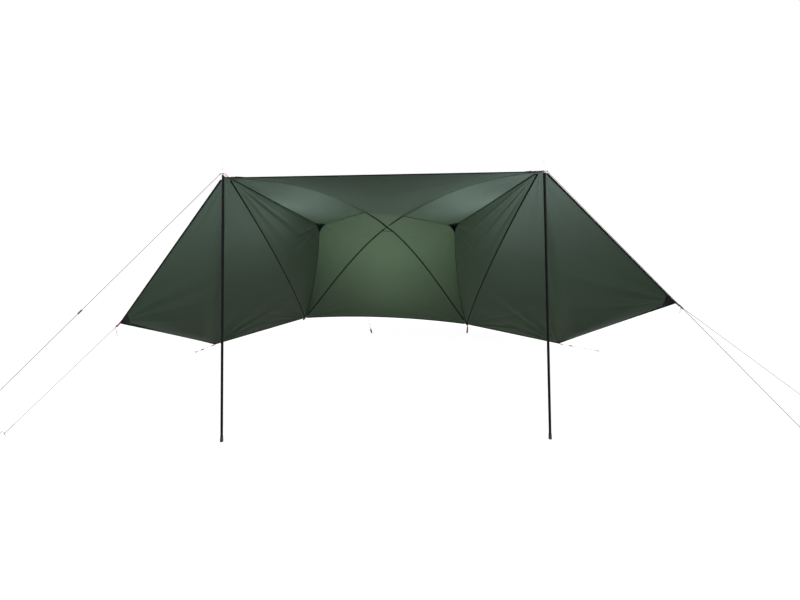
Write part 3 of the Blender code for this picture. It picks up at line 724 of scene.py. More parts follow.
GLASS_FIBRE = HardFinish(
    "glass_fibre_rod", "#101112", "fibreglass", 0.28, 0.0, grain=300.0, depth=0.05, coat=0.3
)
NYLON = HardFinish("moulded_nylon", "#131414", "runner_plastic", 0.48, 0.0, grain=800.0, depth=0.15)


def finish_piece(
    obj: bpy.types.Object, finish: Finish, body: str = SHELTER, replaces: Sequence[str] = (),
) -> bpy.types.Object:
    """Gives a piece its finish and its body, and hides the solids that it stands for."""
    obj.data.materials.clear()
    obj.data.materials.append(finish.build())
    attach(obj, body)
    if replaces:
        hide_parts(*replaces)
    log.info("%s on %s", obj.name, body)
    return obj


# Camera, light and ground
@dataclass
class Studio:
    """A plain white room with the camera where the photographer stood."""

    eye: Array = field(default_factory=lambda: spot(0.0128, -3.34, 1.78))
    roll: float = 0.00816
    focal_px: float = 450.9
    image_px: tuple[float, float] = (800.0, 600.0)
    centre_px: tuple[float, float] = (385.7, 200.0)
    sensor: float = 36.0
    floor_grey: str = "#686868"
    ambient: float = 0.05
    sky_width: float = 35.0
    floor_share: float = 0.8
    floor_glow: float = 1.2
    lamps: tuple[tuple[str, Place, Place, float, float, str], ...] = (
        ("left_shoulder_lamp", (-0.95, 1.05, 2.3), (-0.9, 0.95, 1.8), 0.4, 23.0, "#e2d6ff"),
        ("right_shoulder_lamp", (0.95, 1.05, 2.3), (0.9, 0.95, 1.8), 0.4, 25.0, "#e2d6ff"),
        ("left_peak_lamp", (-1.5, 0.1, 2.6), (-1.2, 0.3, 1.95), 0.4, 16.0, "#ded0ff"),
        ("right_peak_lamp", (1.5, 0.1, 2.6), (1.2, 0.3, 1.95), 0.4, 36.0, "#ded0ff"),
        ("left_wing_lamp", (-2.2, 0.15, 2.3), (-1.75, 0.05, 1.5), 0.5, 15.0, "#e6e0ff"),
        ("left_rear_lamp", (-1.0, 3.5, 2.0), (-0.6, 1.2, 1.7), 0.9, 13.0, "#ffffff"),
        ("right_rear_lamp", (1.0, 3.5, 2.0), (0.6, 1.2, 1.7), 0.9, 18.0, "#ffffff"),
        ("back_lamp", (0.05, 3.05, 1.1), (0.05, 2.6, 0.75), 0.35, 5.0, "#ffffff"),
        ("back_top_lamp", (0.05, 2.55, 1.85), (0.05, 1.9, 1.35), 0.3, 21.0, "#ffffff"),
        ("crossing_lamp", (0.0, 1.68, 1.98), (0.0, 1.52, 1.72), 0.15, 2.6, "#ffffff"),
    )
    skies: tuple[tuple[str, Place, float], ...] = (
        ("back_left_sky", (-0.7, 0.65, 0.3), 1.6),
        ("back_right_sky", (0.7, 0.65, 0.3), 1.65),
        ("front_left_sky", (-0.7, -0.68, 0.2), 0.95),
        ("front_right_sky", (0.7, -0.68, 0.2), 3.25),
    )

    def camera(self) -> None:
        """Puts the camera at the photograph's viewing angle."""
        data = bpy.data.cameras.new("camera")
        data.sensor_width = self.sensor
        wide, high = self.image_px
        data.lens = self.focal_px * self.sensor / wide
        data.shift_x = (wide / 2 - self.centre_px[0]) / wide
        data.shift_y = (self.centre_px[1] - high / 2) / wide
        data.clip_end = 200.0
        camera = bpy.data.objects.new("camera", data)
        camera.location = in_frame(self.eye).tolist()
        camera.rotation_euler = (math.pi / 2, self.roll, 0.0)
        bpy.context.scene.collection.objects.link(camera)
        bpy.context.scene.camera = camera

    def hang(self, name: str, kind: str, energy: float, towards: Array) -> bpy.types.Object:
        """Adds a light.

        Args:
            name: The light's name.
            kind: AREA for a lamp, or SUN for a broad light from far away.
            energy: Its watts, or its strength, of which pi is a plain level.
            towards: The way in which it shines.

        Returns:
            The light.
        """
        data = bpy.data.lights.new(name, kind)
        data.energy = energy
        light = bpy.data.objects.new(name, data)
        light.rotation_euler = Vector(towards.tolist()).to_track_quat("-Z", "Y").to_euler()
        bpy.context.scene.collection.objects.link(light)
        return light

    def lights(self) -> None:
        """Hangs the lamps and lights the room evenly."""
        for name, place, aim, size, watts, tint in self.lamps:
            lamp = self.hang(name, "AREA", watts, spot(*aim) - spot(*place))
            lamp.location = in_frame(spot(*place)).tolist()
            lamp.visible_camera = False
            lamp.data.size = size
            lamp.data.color = linear(tint)[:3]
        for name, source, strength in self.skies:
            self.hang(name, "SUN", strength, -spot(*source)).data.angle = math.radians(self.sky_width)
        world = bpy.data.worlds.new("white_room")
        nodes = Nodes(world)
        ray, seen = self.rays(nodes)
        clear = nodes.math("SUBTRACT", ray["Is Transmission Ray"], ray["Is Diffuse Ray"])
        strength = nodes.spread(nodes.math("MAXIMUM", seen, clear), self.ambient, 1.0)
        glow = nodes.add("Background", {"Color": WHITE, "Strength": strength}).outputs[0]
        nodes.add("OutputWorld", {"Surface": glow})
        bpy.context.scene.world = world
        bpy.context.scene.view_settings.view_transform = "Standard"

    def rays(self, nodes: Nodes) -> tuple[Any, Any]:
        """The kinds of ray, and whether one shows the room itself or its mirror image."""
        ray = nodes.add("LightPath").outputs
        return ray, nodes.math("MAXIMUM", ray["Is Camera Ray"], ray["Is Glossy Ray"])

    def floor(self) -> None:
        """A plain pale floor that looks white and keeps the tent's shadow."""
        select_all_off()
        bpy.ops.mesh.primitive_plane_add(size=120.0, location=(0.0, 0.0, 0.0))
        ground = bpy.context.active_object
        ground.name = "floor"
        material = bpy.data.materials.new("pale_floor")
        nodes = Nodes(material)
        ray, seen = self.rays(nodes)
        pale = nodes.mix(ray["Is Camera Ray"], linear(self.floor_grey), linear("#f4f4f4"))
        matt = nodes.add("BsdfDiffuse", {"Color": pale}).outputs[0]
        white = nodes.add("Emission", {"Color": WHITE, "Strength": self.floor_glow}).outputs[0]
        share = nodes.math("MULTIPLY", seen, self.floor_share)
        nodes.add("OutputMaterial", {"Surface": nodes.blend(share, matt, white)})
        ground.data.materials.append(material)


# Cords
PEG_RADIUS = 0.0025
PEG_HEIGHT = 0.034
# How far a peg leans for each metre that it rises
PEG_LEAN = 0.35
# How far a guy's loop stands off its peg
LOOP_SLACK = 0.0035


@dataclass(frozen=True, eq=False)
class Guy:
    """One taut guy from a webbing loop to its peg, tied round the peg with a knotted loop."""

    name: str
    start: Array
    end: Array
    peg: Array
    radius: float
    runner: bool = False
    loop_length: float = 0.075
    tail: Array | None = None

    @property
    def along(self) -> Array:
        """The guy's direction, from the tent to the peg."""
        return unit(self.end - self.start)

    @property
    def lean(self) -> Array:
        """The direction in which the peg leans, away from the tent."""
        return unit(spot(self.peg[0] - self.start[0], self.peg[1] - self.start[1], 0.0))

    @property
    def across(self) -> Array:
        """The level direction square to the guy."""
        return unit(np.cross(self.along, UP))

    @property
    def neck(self) -> Array:
        """The middle of the loop round the peg."""
        return self.end + self.along * (PEG_RADIUS + self.radius)

    def route(self) -> Array:
        """The cord's centre line: straight to the knot, then open round the peg and back to the knot."""
        along, across, near = self.along, self.across, 0.3 * self.loop_length
        knot = self.neck - along * self.loop_length
        bend = PEG_RADIUS + self.radius + LOOP_SLACK
        turn = ((-1.0, -1.0), (0.7, -0.75), (1.0, 0.0), (0.7, 0.75), (-1.0, 1.0))
        points = [
            knot, knot + along * near - across * bend * 0.7,
            *[self.neck + (along * ahead + across * aside) * bend for ahead, aside in turn],
            knot + along * near + across * bend * 0.9, knot + along * 0.005 + across * 2.3 * self.radius,
        ]
        straight = self.start + (knot - self.start) * np.linspace(0.0, 1.0, 12)[:-1, None]
        curve = spline([straight[-1], *points], 0.003)
        return np.vstack([straight[:-1], curve])

    def knot(self, place: Array, name: str) -> bpy.types.Object:
        """An overhand knot, tied in the cord's own thickness."""
        t = np.linspace(0.0, 2.0 * math.pi, 61)
        aside = np.cos(t) - 2 * np.cos(2 * t)
        trefoil = np.stack([np.sin(t) + 2 * np.sin(2 * t), aside, -np.sin(3 * t) * 1.1], -1)
        axes = np.stack([self.along, self.across, np.cross(self.along, self.across)])
        return tube(name, place + trefoil * self.radius * 0.95 @ axes, self.radius * 0.98, 10)

    def build(self) -> None:
        route = self.route()
        rope = tube(f"{self.name}_cord", route, self.radius, 10)
        peg_wire = self.peg_hook()
        knots = [
            self.knot(self.start + self.along * 0.004, f"{self.name}_tied_knot"),
            self.knot(self.neck - self.along * self.loop_length, f"{self.name}_loop_knot"),
        ]
        finish_piece(rope, CORD, replaces=[f"{self.name}_guy"])
        for piece in knots:
            finish_piece(piece, CORD)
        if self.tail is not None:
            self.hanging_tail()

    def hanging_tail(self) -> None:
        """The loose end that hangs from the knot at the tent."""
        top = self.start + self.along * 0.008 - UP * 0.006
        points = [top, top + self.tail * 0.3 + UP * 0.004, top + self.tail * 0.65, top + self.tail]
        route = spline(points, 0.004)
        cord = finish_piece(tube(f"{self.name}_tail", route, self.radius * 0.9, 10), CORD)

    def peg_hook(self) -> bpy.types.Object:
        """The bent wire peg, hooked over the guy, as far as it stands above the ground."""
        foot = self.peg + UP * (PEG_RADIUS * PEG_LEAN + 0.0003)
        head = self.peg + (self.lean * PEG_LEAN + UP) * PEG_HEIGHT
        bend = ((0.0, 0.0), (0.004, 0.006), (0.010, 0.008), (0.017, 0.006), (0.020, -0.006))
        points = [foot, (foot + head) / 2, *[head + self.lean * out + UP * rise for out, rise in bend]]
        hook = tube(f"{self.name}_peg_wire", spline(points, 0.0015), PEG_RADIUS, 12)
        return finish_piece(hook, PEG_WIRE, replaces=[f"{self.name}_peg"])


GUYS = (
    Guy(
        "left_main", spot(-1.2088, 0.0, 1.985), spot(-3.1053, -0.3008, 0.0271), spot(-3.10, -0.30, 0.0),
        0.002, True,
    ),
    Guy(
        "right_main", spot(1.2088, 0.0, 1.985), spot(2.9853, -0.3009, 0.0273), spot(2.98, -0.30, 0.0),
        0.002, True,
    ),
    Guy(
        "left_wing", spot(-2.223, 0.3889, 0.7511), spot(-2.905, 0.0979, 0.0269), spot(-2.90, 0.10, 0.0),
        0.0016, tail=spot(0.012, 0.004, -0.072),
    ),
    Guy(
        "right_wing", spot(2.4388, 0.3889, 0.8838), spot(3.4551, -0.0019, 0.0263), spot(3.45, 0.0, 0.0),
        0.0016, tail=spot(-0.008, 0.003, -0.05),
    ),
    Guy(
        "left_side", spot(-2.0923, 2.0906, 0.0411), spot(-2.2158, 1.9191, 0.0243), spot(-2.213, 1.923, 0.0),
        0.0016, True, loop_length=0.024,
    ),
    Guy(
        "right_side", spot(2.1007, 2.03, 0.0448), spot(2.4402, 1.8457, 0.0242), spot(2.436, 1.848, 0.0),
        0.0016, True, loop_length=0.024,
    ),
)


def build_hem_cord() -> None:
    """The thin cord and its tab that hold the middle of the back hem to the ground."""
    start, end = spot(-0.2619, 3.1742, 0.0954), spot(-0.2062, 2.807, 0.0225)
    path = start + (end - start) * np.linspace(0.0, 1.0, 16)[:, None]
    cord = finish_piece(tube("hem_tie_cord", path, 0.0016, 10), CRIMSON_CORD, replaces=["hem_cord"])
    tab = strap("hem_tie_tab", [end, spot(-0.190, 2.70, 0.0013)])
    finish_piece(tab, CRIMSON, replaces=["hem_tab"])


def strap(
    name: str, points: Sequence[Array], width: float = 0.020, thickness: float = 0.0018,
) -> bpy.types.Object:
    """A flat piece of webbing along a path, level across."""
    path = spline(points, 0.006)
    along = tangents(path)
    across = unit(np.cross(along, UP))
    return sweep(name, path, across, np.cross(across, along), band(-width / 2, width / 2, thickness))


# Cloth
@dataclass(frozen=True, eq=False)
class Crease:
    """A long shallow fold in the cloth, strongest in its middle.

    A positive depth stands out of the tent.
    """

    start: Array
    end: Array
    width: float
    depth: float

    def height(self, points: Array) -> Array:
        """How far the fold lifts each point."""
        run = self.end - self.start
        t = ((points - self.start) @ run) / (run @ run)
        off = np.linalg.norm(points - (self.start + t[..., None] * run), axis=-1)
        fade = np.where((t > 0) & (t < 1), np.sin(np.pi * np.clip(t, 0, 1)), 0.0) ** 1.2
        return self.depth * fade * np.exp(-((off / self.width) ** 2))


@dataclass(frozen=True, eq=False)
class Fan:
    """Tension folds that run out of one corner of the cloth."""

    centre: Array
    reach: float
    depth: float
    count: int
    seed: int

    def height(self, points: Array, first: Array, second: Array) -> Array:
        """How far the folds lift each point, with angles measured between the two directions given."""
        offset = points - self.centre
        distance = np.linalg.norm(offset, axis=-1)
        angle = np.arctan2(offset @ second, offset @ first)
        draw = np.random.default_rng(self.seed)
        low, high = np.quantile(angle, 0.02), np.quantile(angle, 0.98)
        total = np.zeros(distance.shape)
        for i in range(self.count):
            place = low + (high - low) * (i + 0.5 + draw.uniform(-0.3, 0.3)) / self.count
            spread = (high - low) / self.count * draw.uniform(0.22, 0.42)
            reach = self.reach * draw.uniform(0.6, 1.5)
            grow = distance / reach * np.exp(1.0 - distance / reach)
            lift = self.depth * draw.uniform(0.5, 1.0) * (1 if i % 2 else -1)
            total += lift * grow * np.exp(-(((angle - place) / spread) ** 2))
        return total


@dataclass(frozen=True)
class Sag:
    """How far a part of a panel hangs in between its edges."""

    depth: float
    rows: tuple[float, float]
    rise: float = 0.5
    fall: float = 0.5
    columns: tuple[float, float] = (0.0, 1.0)
    steep: tuple[float, float] = (0.5, 0.5)

    def height(self, rows: Array, columns: Array) -> Array:
        """How far the sag lifts each point, which is below 0."""
        along, across = (
            np.clip((values - low) / (high - low), 0.0, 1.0)
            for values, (low, high) in ((rows, self.rows), (columns, self.columns))
        )
        dip = swell(along, self.rise, self.fall)[:, None] * swell(across, *self.steep)[None]
        return -self.depth * dip


@dataclass
class ClothPanel:
    """One cut panel of the canopy: a curved sheet that hangs between its rails, with its tension folds."""

    name: str
    replaces: tuple[str, ...]
    surface: Surface
    rows: tuple[float, float]
    spacing: float = 0.013
    sags: tuple[Sag, ...] = ()
    folds: tuple[Any, ...] = ()
    pucker: float = 0.0007
    thickness: float = 0.0007
    knots: tuple[float, ...] = ()
    soften: int = 0
    hung: dict[str, Array] = field(default_factory=dict)

    def stations(self) -> tuple[Array, Array]:
        """Rows and columns of the grid, closer together near the panel's edges."""
        probe = np.linspace(*self.rows, 60)
        along = max(distances(self.surface(probe, np.array([v]))[:, 0])[-1] for v in (0.0, 0.5, 1.0))
        middle = self.surface(probe, np.linspace(0, 1, 30))
        across = float(np.linalg.norm(np.diff(middle, axis=1), axis=2).sum(1).max())
        rows = np.linspace(*self.rows, max(12, int(along / self.spacing)))
        extra = [k + d for k in self.knots for d in (-0.05, 0.0, 0.05)]
        rows = np.unique(np.concatenate([rows, [r for r in extra if self.rows[0] < r < self.rows[1]]]))
        even = np.linspace(0.0, 1.0, max(10, int(across / self.spacing)))
        columns = 0.75 * even + 0.25 * (0.5 - 0.5 * np.cos(np.pi * even))
        return rows, columns

    def build(self) -> bpy.types.Object:
        rows, columns = self.stations()
        grid = self.surface(rows, columns)
        along = distances(grid[:, len(columns) // 2])
        steps = np.linalg.norm(np.diff(grid, axis=1), axis=2)
        across = np.concatenate([np.zeros((len(rows), 1)), np.cumsum(steps, axis=1)], axis=1)
        width = across[:, -1:]
        uvs = np.stack([across - width / 2, np.broadcast_to(along[:, None], across.shape)], -1)
        normal, flip = self.normals(grid)
        lift = self.lift(grid, normal, across, width, along)
        lift += self.hang(rows, columns)
        grid = grid + normal * lift[..., None]
        self.hung = {"rows": rows, "columns": columns, "grid": grid, "normal": normal}
        faces = grid_faces(len(rows), len(columns), flip)
        obj = new_object(self.name, grid.reshape(-1, 3), faces, uvs.reshape(-1, 2))
        thicken(obj, self.thickness)
        finish_piece(obj, CLOTH, replaces=self.replaces)
        return obj

    def hang(self, rows: Array, columns: Array) -> Array:
        """The height of the sag, softened where two hanging parts meet in a fold."""
        total = sum((sag.height(rows, columns) for sag in self.sags), np.zeros((len(rows), len(columns))))
        for _ in range(self.soften):
            inner = (total[:, :-2] + 2 * total[:, 1:-1] + total[:, 2:]) / 4
            total = np.hstack([total[:, :1], inner, total[:, -1:]])
        return total

    def on_cloth(self, rows: Array, columns: Array, offset: float) -> Array:
        """Points on the hanging cloth, moved off it by a distance into the tent.

        Args:
            rows: A row for each point.
            columns: A column for each point, of the same shape.
            offset: How far inside the cloth they lie.

        Returns:
            The points of the plan, in the same shape.
        """
        along = np.interp(rows, self.hung["rows"], np.arange(len(self.hung["rows"])))
        across = np.interp(columns, self.hung["columns"], np.arange(len(self.hung["columns"])))
        i = np.minimum(along.astype(int), len(self.hung["rows"]) - 2)
        j = np.minimum(across.astype(int), len(self.hung["columns"]) - 2)
        u, v = (along - i)[..., None], (across - j)[..., None]
        found = []
        for table in (self.hung["grid"], self.hung["normal"]):
            low = table[i, j] * (1 - v) + table[i, j + 1] * v
            high = table[i + 1, j] * (1 - v) + table[i + 1, j + 1] * v
            found.append(low * (1 - u) + high * u)
        return found[0] - unit(found[1]) * offset

    def normals(self, grid: Array) -> tuple[Array, bool]:
        """Directions square to the sheet that point out of the tent, and whether its faces have to turn."""
        normal = unit(np.cross(*np.gradient(grid, axis=(0, 1))))
        middle = len(grid) // 2, grid.shape[1] // 2
        turned = float(normal[middle] @ (grid[middle] - INSIDE)) < 0
        return (-normal if turned else normal), turned

    def lift(self, grid: Array, normal: Array, across: Array, width: Array, along: Array) -> Array:
        """The height of all folds over the smooth sheet, which is 0 along its edges."""
        total = np.zeros(grid.shape[:2])
        middle = len(grid) // 2, grid.shape[1] // 2
        for fold in self.folds:
            if isinstance(fold, Fan):
                first = unit(grid[middle] - fold.centre)
                total += fold.height(grid, first, unit(np.cross(normal[middle], first)))
            else:
                total += fold.height(grid)
        edge = np.minimum(across, width - across)
        from_ends = np.minimum(along, along[-1] - along)[:, None]
        total *= smooth(0.014, 0.07, edge) * smooth(0.014, 0.06, from_ends)
        turns = 2 * np.pi * along[:, None]
        wave = np.sin(turns / 0.047) + 0.6 * np.sin(turns / 0.031 + 1.0)
        near = np.exp(-(((edge - 0.026) / 0.010) ** 2)) * smooth(0.012, 0.03, from_ends)
        return total + self.pucker * wave * near * smooth(0.03, 0.09, width)


def between(first: Rail, last: Rail) -> Surface:
    """A surface whose rows run straight from one rail to another."""
    def surface(rows: Array, columns: Array) -> Array:
        a, b = first(rows), last(rows)
        return a[:, None] + (b - a)[:, None] * columns[None, :, None]
    return surface


def back_surface(rows: Array, columns: Array) -> Array:
    """The back wall between the poles, with its lower edge drawn up in the middle."""
    grid = between(partial(SHAPE.pole_rail, LEFT), partial(SHAPE.pole_rail, RIGHT))(rows, columns)
    down = (np.clip((rows - BAR) / (CORNER - BAR), 0.0, 1.0) ** 2)[:, None]
    grid[..., 2] += SHAPE.hem_rise * arch(columns)[None] * down
    return grid


def wing_surface(side: Side, softness: float = 0.045) -> Surface:
    """Side wall and wing in one cloth, with the soft fold from the peak to the side corner."""
    def surface(rows: Array, columns: Array) -> Array:
        a, b, c = SHAPE.side_rail(side, rows), SHAPE.fold_line(side, rows), SHAPE.wing_rail(side, rows)
        past = (columns - 0.5)[None, :]
        soft = (softness * (1.0 - smooth(0.55 * CORNER, CORNER, rows)) + 0.001)[:, None]
        second = (past + np.sqrt(past**2 + soft**2)) / 2
        at_start = (-0.5 + np.sqrt(0.25 + soft**2)) / 2
        second = (second - at_start) / (1.0 - 2 * at_start)
        first = columns[None, :] - second
        wall, flap = (b - a)[:, None], (c - b)[:, None]
        return behind_pole(side, a[:, None] + wall * 2 * first[..., None] + flap * 2 * second[..., None])
    return surface


def behind_pole(side: Side, cloth: Array, distance: float = 0.023, breadth: float = 0.022) -> Array:
    """Sets the cloth back behind the top of the upright, so that the upright can lean.

    Args:
        side: The upright's side.
        cloth: Points of the cloth, on the plan.
        distance: How far it is set back.
        breadth: How far to each side of the upright.

    Returns:
        The points, those close behind the upright moved back.
    """
    below = side.eyelet[2] - cloth[..., 2]
    beside = np.exp(-(((cloth[..., 0] - side.eyelet[0]) / breadth) ** 2))
    back = distance * smooth(-0.012, 0.022, below) * (1.0 - smooth(0.07, 0.16, below)) * beside
    return cloth + back[..., None] * spot(0.0, 1.0, 0.0)


@dataclass
class Canopy:
    """All cut panels of the tent."""

    panels: dict[str, ClothPanel] = field(default_factory=dict)

    def build(self) -> None:
        """Makes roof, back, shoulders, rear sides and wings."""
        made = [self.roof(), self.back(), self.gusset()]
        for side in SIDES:
            made += [self.shoulder(side), self.rear_side(side), self.wing(side)]
        for panel in made:
            panel.build()
            self.panels[panel.name] = panel

    def roof(self) -> ClothPanel:
        """The roof between the front hem and the crossing."""
        surface = between(partial(SHAPE.cloth_rail, LEFT), partial(SHAPE.cloth_rail, RIGHT))
        sags = (Sag(0.075, (0.0, EAVE), 0.7, 0.3, steep=(0.3, 0.3)), Sag(0.006, (EAVE, CROSSING)))
        folds = (Fan(LEFT.peak, 0.30, 0.003, 7, 3), Fan(RIGHT.peak, 0.30, 0.003, 7, 5))
        return ClothPanel(
            "roof_cloth", ("roof_panel",), surface, (0.0, CROSSING - 0.05),
            sags=sags, folds=folds, knots=(EAVE,),
        )

    def back(self) -> ClothPanel:
        """The back wall under the crossing."""
        folds = (
            Fan(LEFT.back, 0.30, 0.006, 6, 11), Fan(RIGHT.back, 0.30, 0.006, 6, 13),
            Crease(spot(-0.10, 1.9, 1.25), spot(-0.16, 3.1, 0.30), 0.06, 0.009),
            Crease(spot(0.16, 1.9, 1.25), spot(0.26, 3.0, 0.35), 0.08, 0.008),
        )
        sags = (Sag(0.03, (BAR, CORNER), 0.4, 0.3),)
        return ClothPanel("back_cloth", ("back_panel",), back_surface, (BAR, CORNER), sags=sags, folds=folds)

    def gusset(self) -> ClothPanel:
        """The small patch that closes the back wall under the crossing."""
        surface = between(partial(SHAPE.pole_rail, LEFT), partial(SHAPE.pole_rail, RIGHT))
        return ClothPanel(
            "crossing_gusset", ("crossing_patch",), surface, (CROSSING + 0.12, BAR),
            spacing=0.008, pucker=0.0002,
        )

    def shoulder(self, side: Side) -> ClothPanel:
        """The panel between the poles and the shoulder seam, with its sewn eave fold."""
        surface = between(partial(SHAPE.cloth_rail, side), partial(SHAPE.shoulder_rail, side))
        node = SHAPE.pole_rail(side, [EAVE])[0]
        folds = (
            Fan(side.peak, 0.25, 0.003, 6, 21 + side.sign),
            Fan(side.shoulder, 0.15, 0.006, 11, 31 + side.sign),
            Fan(node, 0.13, 0.005, 9, 41 + side.sign),
            Fan(side.back, 0.30, 0.006, 5, 51 + side.sign),
        )
        sags = (
            Sag(0.06, (0.0, EAVE), 0.75, 0.25, steep=(0.35, 0.65)), Sag(0.03, (EAVE, CORNER), 0.3, 0.6),
        )
        return ClothPanel(
            f"{side.name}_shoulder_cloth", (f"{side.name}_shoulder_panel",), surface, (0.0, CORNER),
            sags=sags, folds=folds, knots=(EAVE,),
        )

    def rear_side(self, side: Side) -> ClothPanel:
        """The narrow panel between the shoulder seam and the long side seam."""
        surface = between(partial(SHAPE.shoulder_rail, side), partial(SHAPE.side_rail, side))
        folds = (
            Fan(side.peak, 0.45, 0.005, 6, 61 + side.sign),
            Fan(side.back, 0.30, 0.006, 5, 71 + side.sign),
            Fan(side.shoulder, 0.16, 0.007, 9, 81 + side.sign),
        )
        return ClothPanel(
            f"{side.name}_rear_side_cloth", (f"{side.name}_rear_side_panel",), surface, (0.0, CORNER),
            sags=(Sag(0.02, (0.0, CORNER)),), folds=folds,
        )

    def wing(self, side: Side) -> ClothPanel:
        """The side wall with its wing."""
        folds = (
            Fan(side.peak, 0.35, 0.004, 8, 91 + side.sign),
            Fan(side.wing, 0.30, 0.006, 6, 101 + side.sign),
            Fan(side.corner, 0.22, 0.011, 9, 111 + side.sign),
            Fan(side.back, 0.35, 0.009, 7, 121 + side.sign),
        )
        sags = (
            Sag(0.02, (0.0, CORNER), 0.6, 0.3, (0.0, 0.5)),
            Sag(0.12, (0.0, CORNER), 0.7, 0.12, (0.5, 1.0), (0.35, 0.65)),
        )
        return ClothPanel(
            f"{side.name}_wing_cloth", (f"{side.name}_wing_panel",), wing_surface(side), (0.0, CORNER),
            sags=sags, folds=folds, soften=6,
        )


# Seams, hems, sleeves and patches
def seam(
    name: str, line: Array, to_first: Array, to_second: Array, width: float, thickness: float,
    replaces: Sequence[str] = (),
) -> None:
    """A felled seam that lies inside the cloth along the line where two panels meet.

    Args:
        name: The piece's name.
        line: Points of the seam.
        to_first: Directions from the seam into the first panel.
        to_second: Directions from the seam into the second panel.
        width: The seam's width.
        thickness: The seam's thickness.
        replaces: The solids that it stands for.
    """
    along = tangents(line)
    across = unit(to_second) - unit(to_first)
    across = unit(across - along * (across * along).sum(-1, keepdims=True))
    up = np.cross(along, across)
    inwards = unit(to_first) + unit(to_second)
    sign = np.sign((up * inwards).sum(-1).mean())
    path = line + up * sign * thickness * 0.35
    piece = sweep(name, path, across, up, band(-width / 2, width / 2, thickness))
    finish_piece(piece, FELLED_SEAM, replaces=replaces)


@dataclass
class Sewing:
    """Seams, hems, pole sleeves and reinforcing patches.

    star_front, star_rear, wing_rows and foot_rows count rows of a panel, and lower_hem is a share of the
    plain hem's width. All other measures are metres.
    """

    canopy: Canopy
    patch_lift: float = 0.0016
    patch_thickness: float = 0.0012
    star_front: float = 1.1
    star_rear: float = 1.0
    star_eave: float = 0.15
    star_side: float = 0.05
    wing_rows: float = 1.7
    wing_reach: float = 0.13
    foot_rows: float = 0.42
    seam_width: float = 0.012
    seam_thickness: float = 0.003
    eave_width: float = 0.010
    bar_width: float = 0.009
    bar_thickness: float = 0.0025
    hem_start: float = 0.034
    hem_thickness: float = 0.0046
    front_thickness: float = 0.0075
    front_drop: float = 0.0065
    hem_outer: float = 0.005
    hem_inner: float = 0.010
    lower_hem: float = 1.7
    sleeve_radius: float = 0.0075

    def build(self) -> None:
        """Makes every sewn strip and patch."""
        for side in SIDES:
            self.side_seams(side)
            self.wing_hem(side)
            self.sleeve(side)
            self.shoulder_patch(side)
            self.wing_patch(side)
            self.foot_patch(side)
        self.front_hem()
        self.back_hem()
        self.bar_seam()

    def side_seams(self, side: Side) -> None:
        """Shoulder seam, side seam and eave seam of one side."""
        rows = np.linspace(0.25, CORNER - 0.35, 150)
        curves = (SHAPE.cloth_rail, SHAPE.shoulder_rail, SHAPE.side_rail, SHAPE.fold_line)
        rails = [curve(side, rows) for curve in curves]
        for before, line, after, kind in ((*rails[:3], "shoulder"), (*rails[1:], "side")):
            seam(
                f"{side.name}_{kind}_felled_seam", line, before - line, after - line, self.seam_width,
                self.seam_thickness, [f"{side.name}_{kind}_seam"],
            )
        node = SHAPE.cloth_rail(side, [EAVE])[0]
        t = np.linspace(0.02, 0.98, 40)[:, None]
        line = node + (side.shoulder - node) * t
        ahead, behind = (
            SHAPE.cloth_rail(side, [row])[0] * (1 - t) + SHAPE.shoulder_rail(side, [row])[0] * t
            for row in (EAVE - 2.0, EAVE + 2.0)
        )
        seam(
            f"{side.name}_eave_felled_seam", line, ahead - line, behind - line,
            self.eave_width, self.seam_thickness,
        )

    def bar_seam(self) -> None:
        """The short seam across the back wall just under the crossing."""
        ends = [SHAPE.pole_rail(side, [BAR])[0] for side in SIDES]
        t = np.linspace(0.08, 0.92, 8)[:, None]
        line = ends[0] + (ends[1] - ends[0]) * t
        up = np.broadcast_to(SHAPE.meeting - line.mean(0), line.shape)
        down = spot(0.0, 0.3, -0.2) - up
        seam("crossing_bar_seam", line, up, down, self.bar_width, self.bar_thickness)

    def hem(
        self, name: str, corners: Sequence[Array], inwards: Sequence[Array], replaces: Sequence[str],
        thickness: float, widths: Sequence[float] = (1.0,),
    ) -> None:
        """A hem tape folded over the cloth's edge, mitred at its corners.

        Args:
            name: The piece's name.
            corners: Points of the edge.
            inwards: For each stretch between them, a direction into its cloth.
            replaces: The solids that it stands for.
            thickness: How thick the folded tape is.
            widths: How wide it is along each stretch, against its plain width; the last holds for the rest.
        """
        widths = [*widths, *[widths[-1]] * (len(corners) - 1 - len(widths))]
        points, across, up, stretches = [], [], [], []
        for a, b, inward in zip(corners, corners[1:], inwards):
            along = unit(b - a)
            flat = unit(inward - along * (inward @ along))
            stretches.append((along, flat, np.cross(along, flat)))
        for i, corner in enumerate(corners):
            before = stretches[max(i - 1, 0)]
            after = stretches[min(i, len(stretches) - 1)]
            mitre = (before[1] + after[1]) / (1.0 + before[1] @ after[1])
            wide = widths[min(i, len(widths) - 1)]
            points.append(corner)
            across.append(mitre * (wide + widths[max(i - 1, 0)]) / 2)
            up.append(unit(before[2] + after[2]))
            if i < len(stretches):
                for t in (0.02, 0.5, 0.98):
                    points.append(corner + (corners[i + 1] - corner) * t)
                    across.append(after[1] * wide)
                    up.append(after[2])
        profile = band(-self.hem_outer, self.hem_inner, thickness)
        piece = sweep(name, np.array(points), np.array(across), np.array(up), profile)
        finish_piece(piece, HEM_TAPE, replaces=replaces)

    def wing_hem(self, side: Side) -> None:
        """The hem round the wing's upper edge, its lower edge and the side."""
        start = side.wing_start + unit(side.wing - side.wing_start) * self.hem_start
        edge, inwards = self.lower_edge(f"{side.name}_wing_cloth", np.linspace(1.0, 0.0, 25))
        inwards = [side.corner - side.wing, *inwards]
        self.hem(
            f"{side.name}_wing_hem_tape", [start, *edge], inwards, [f"{side.name}_wing_hem"],
            self.hem_thickness, (1.0, self.lower_hem),
        )

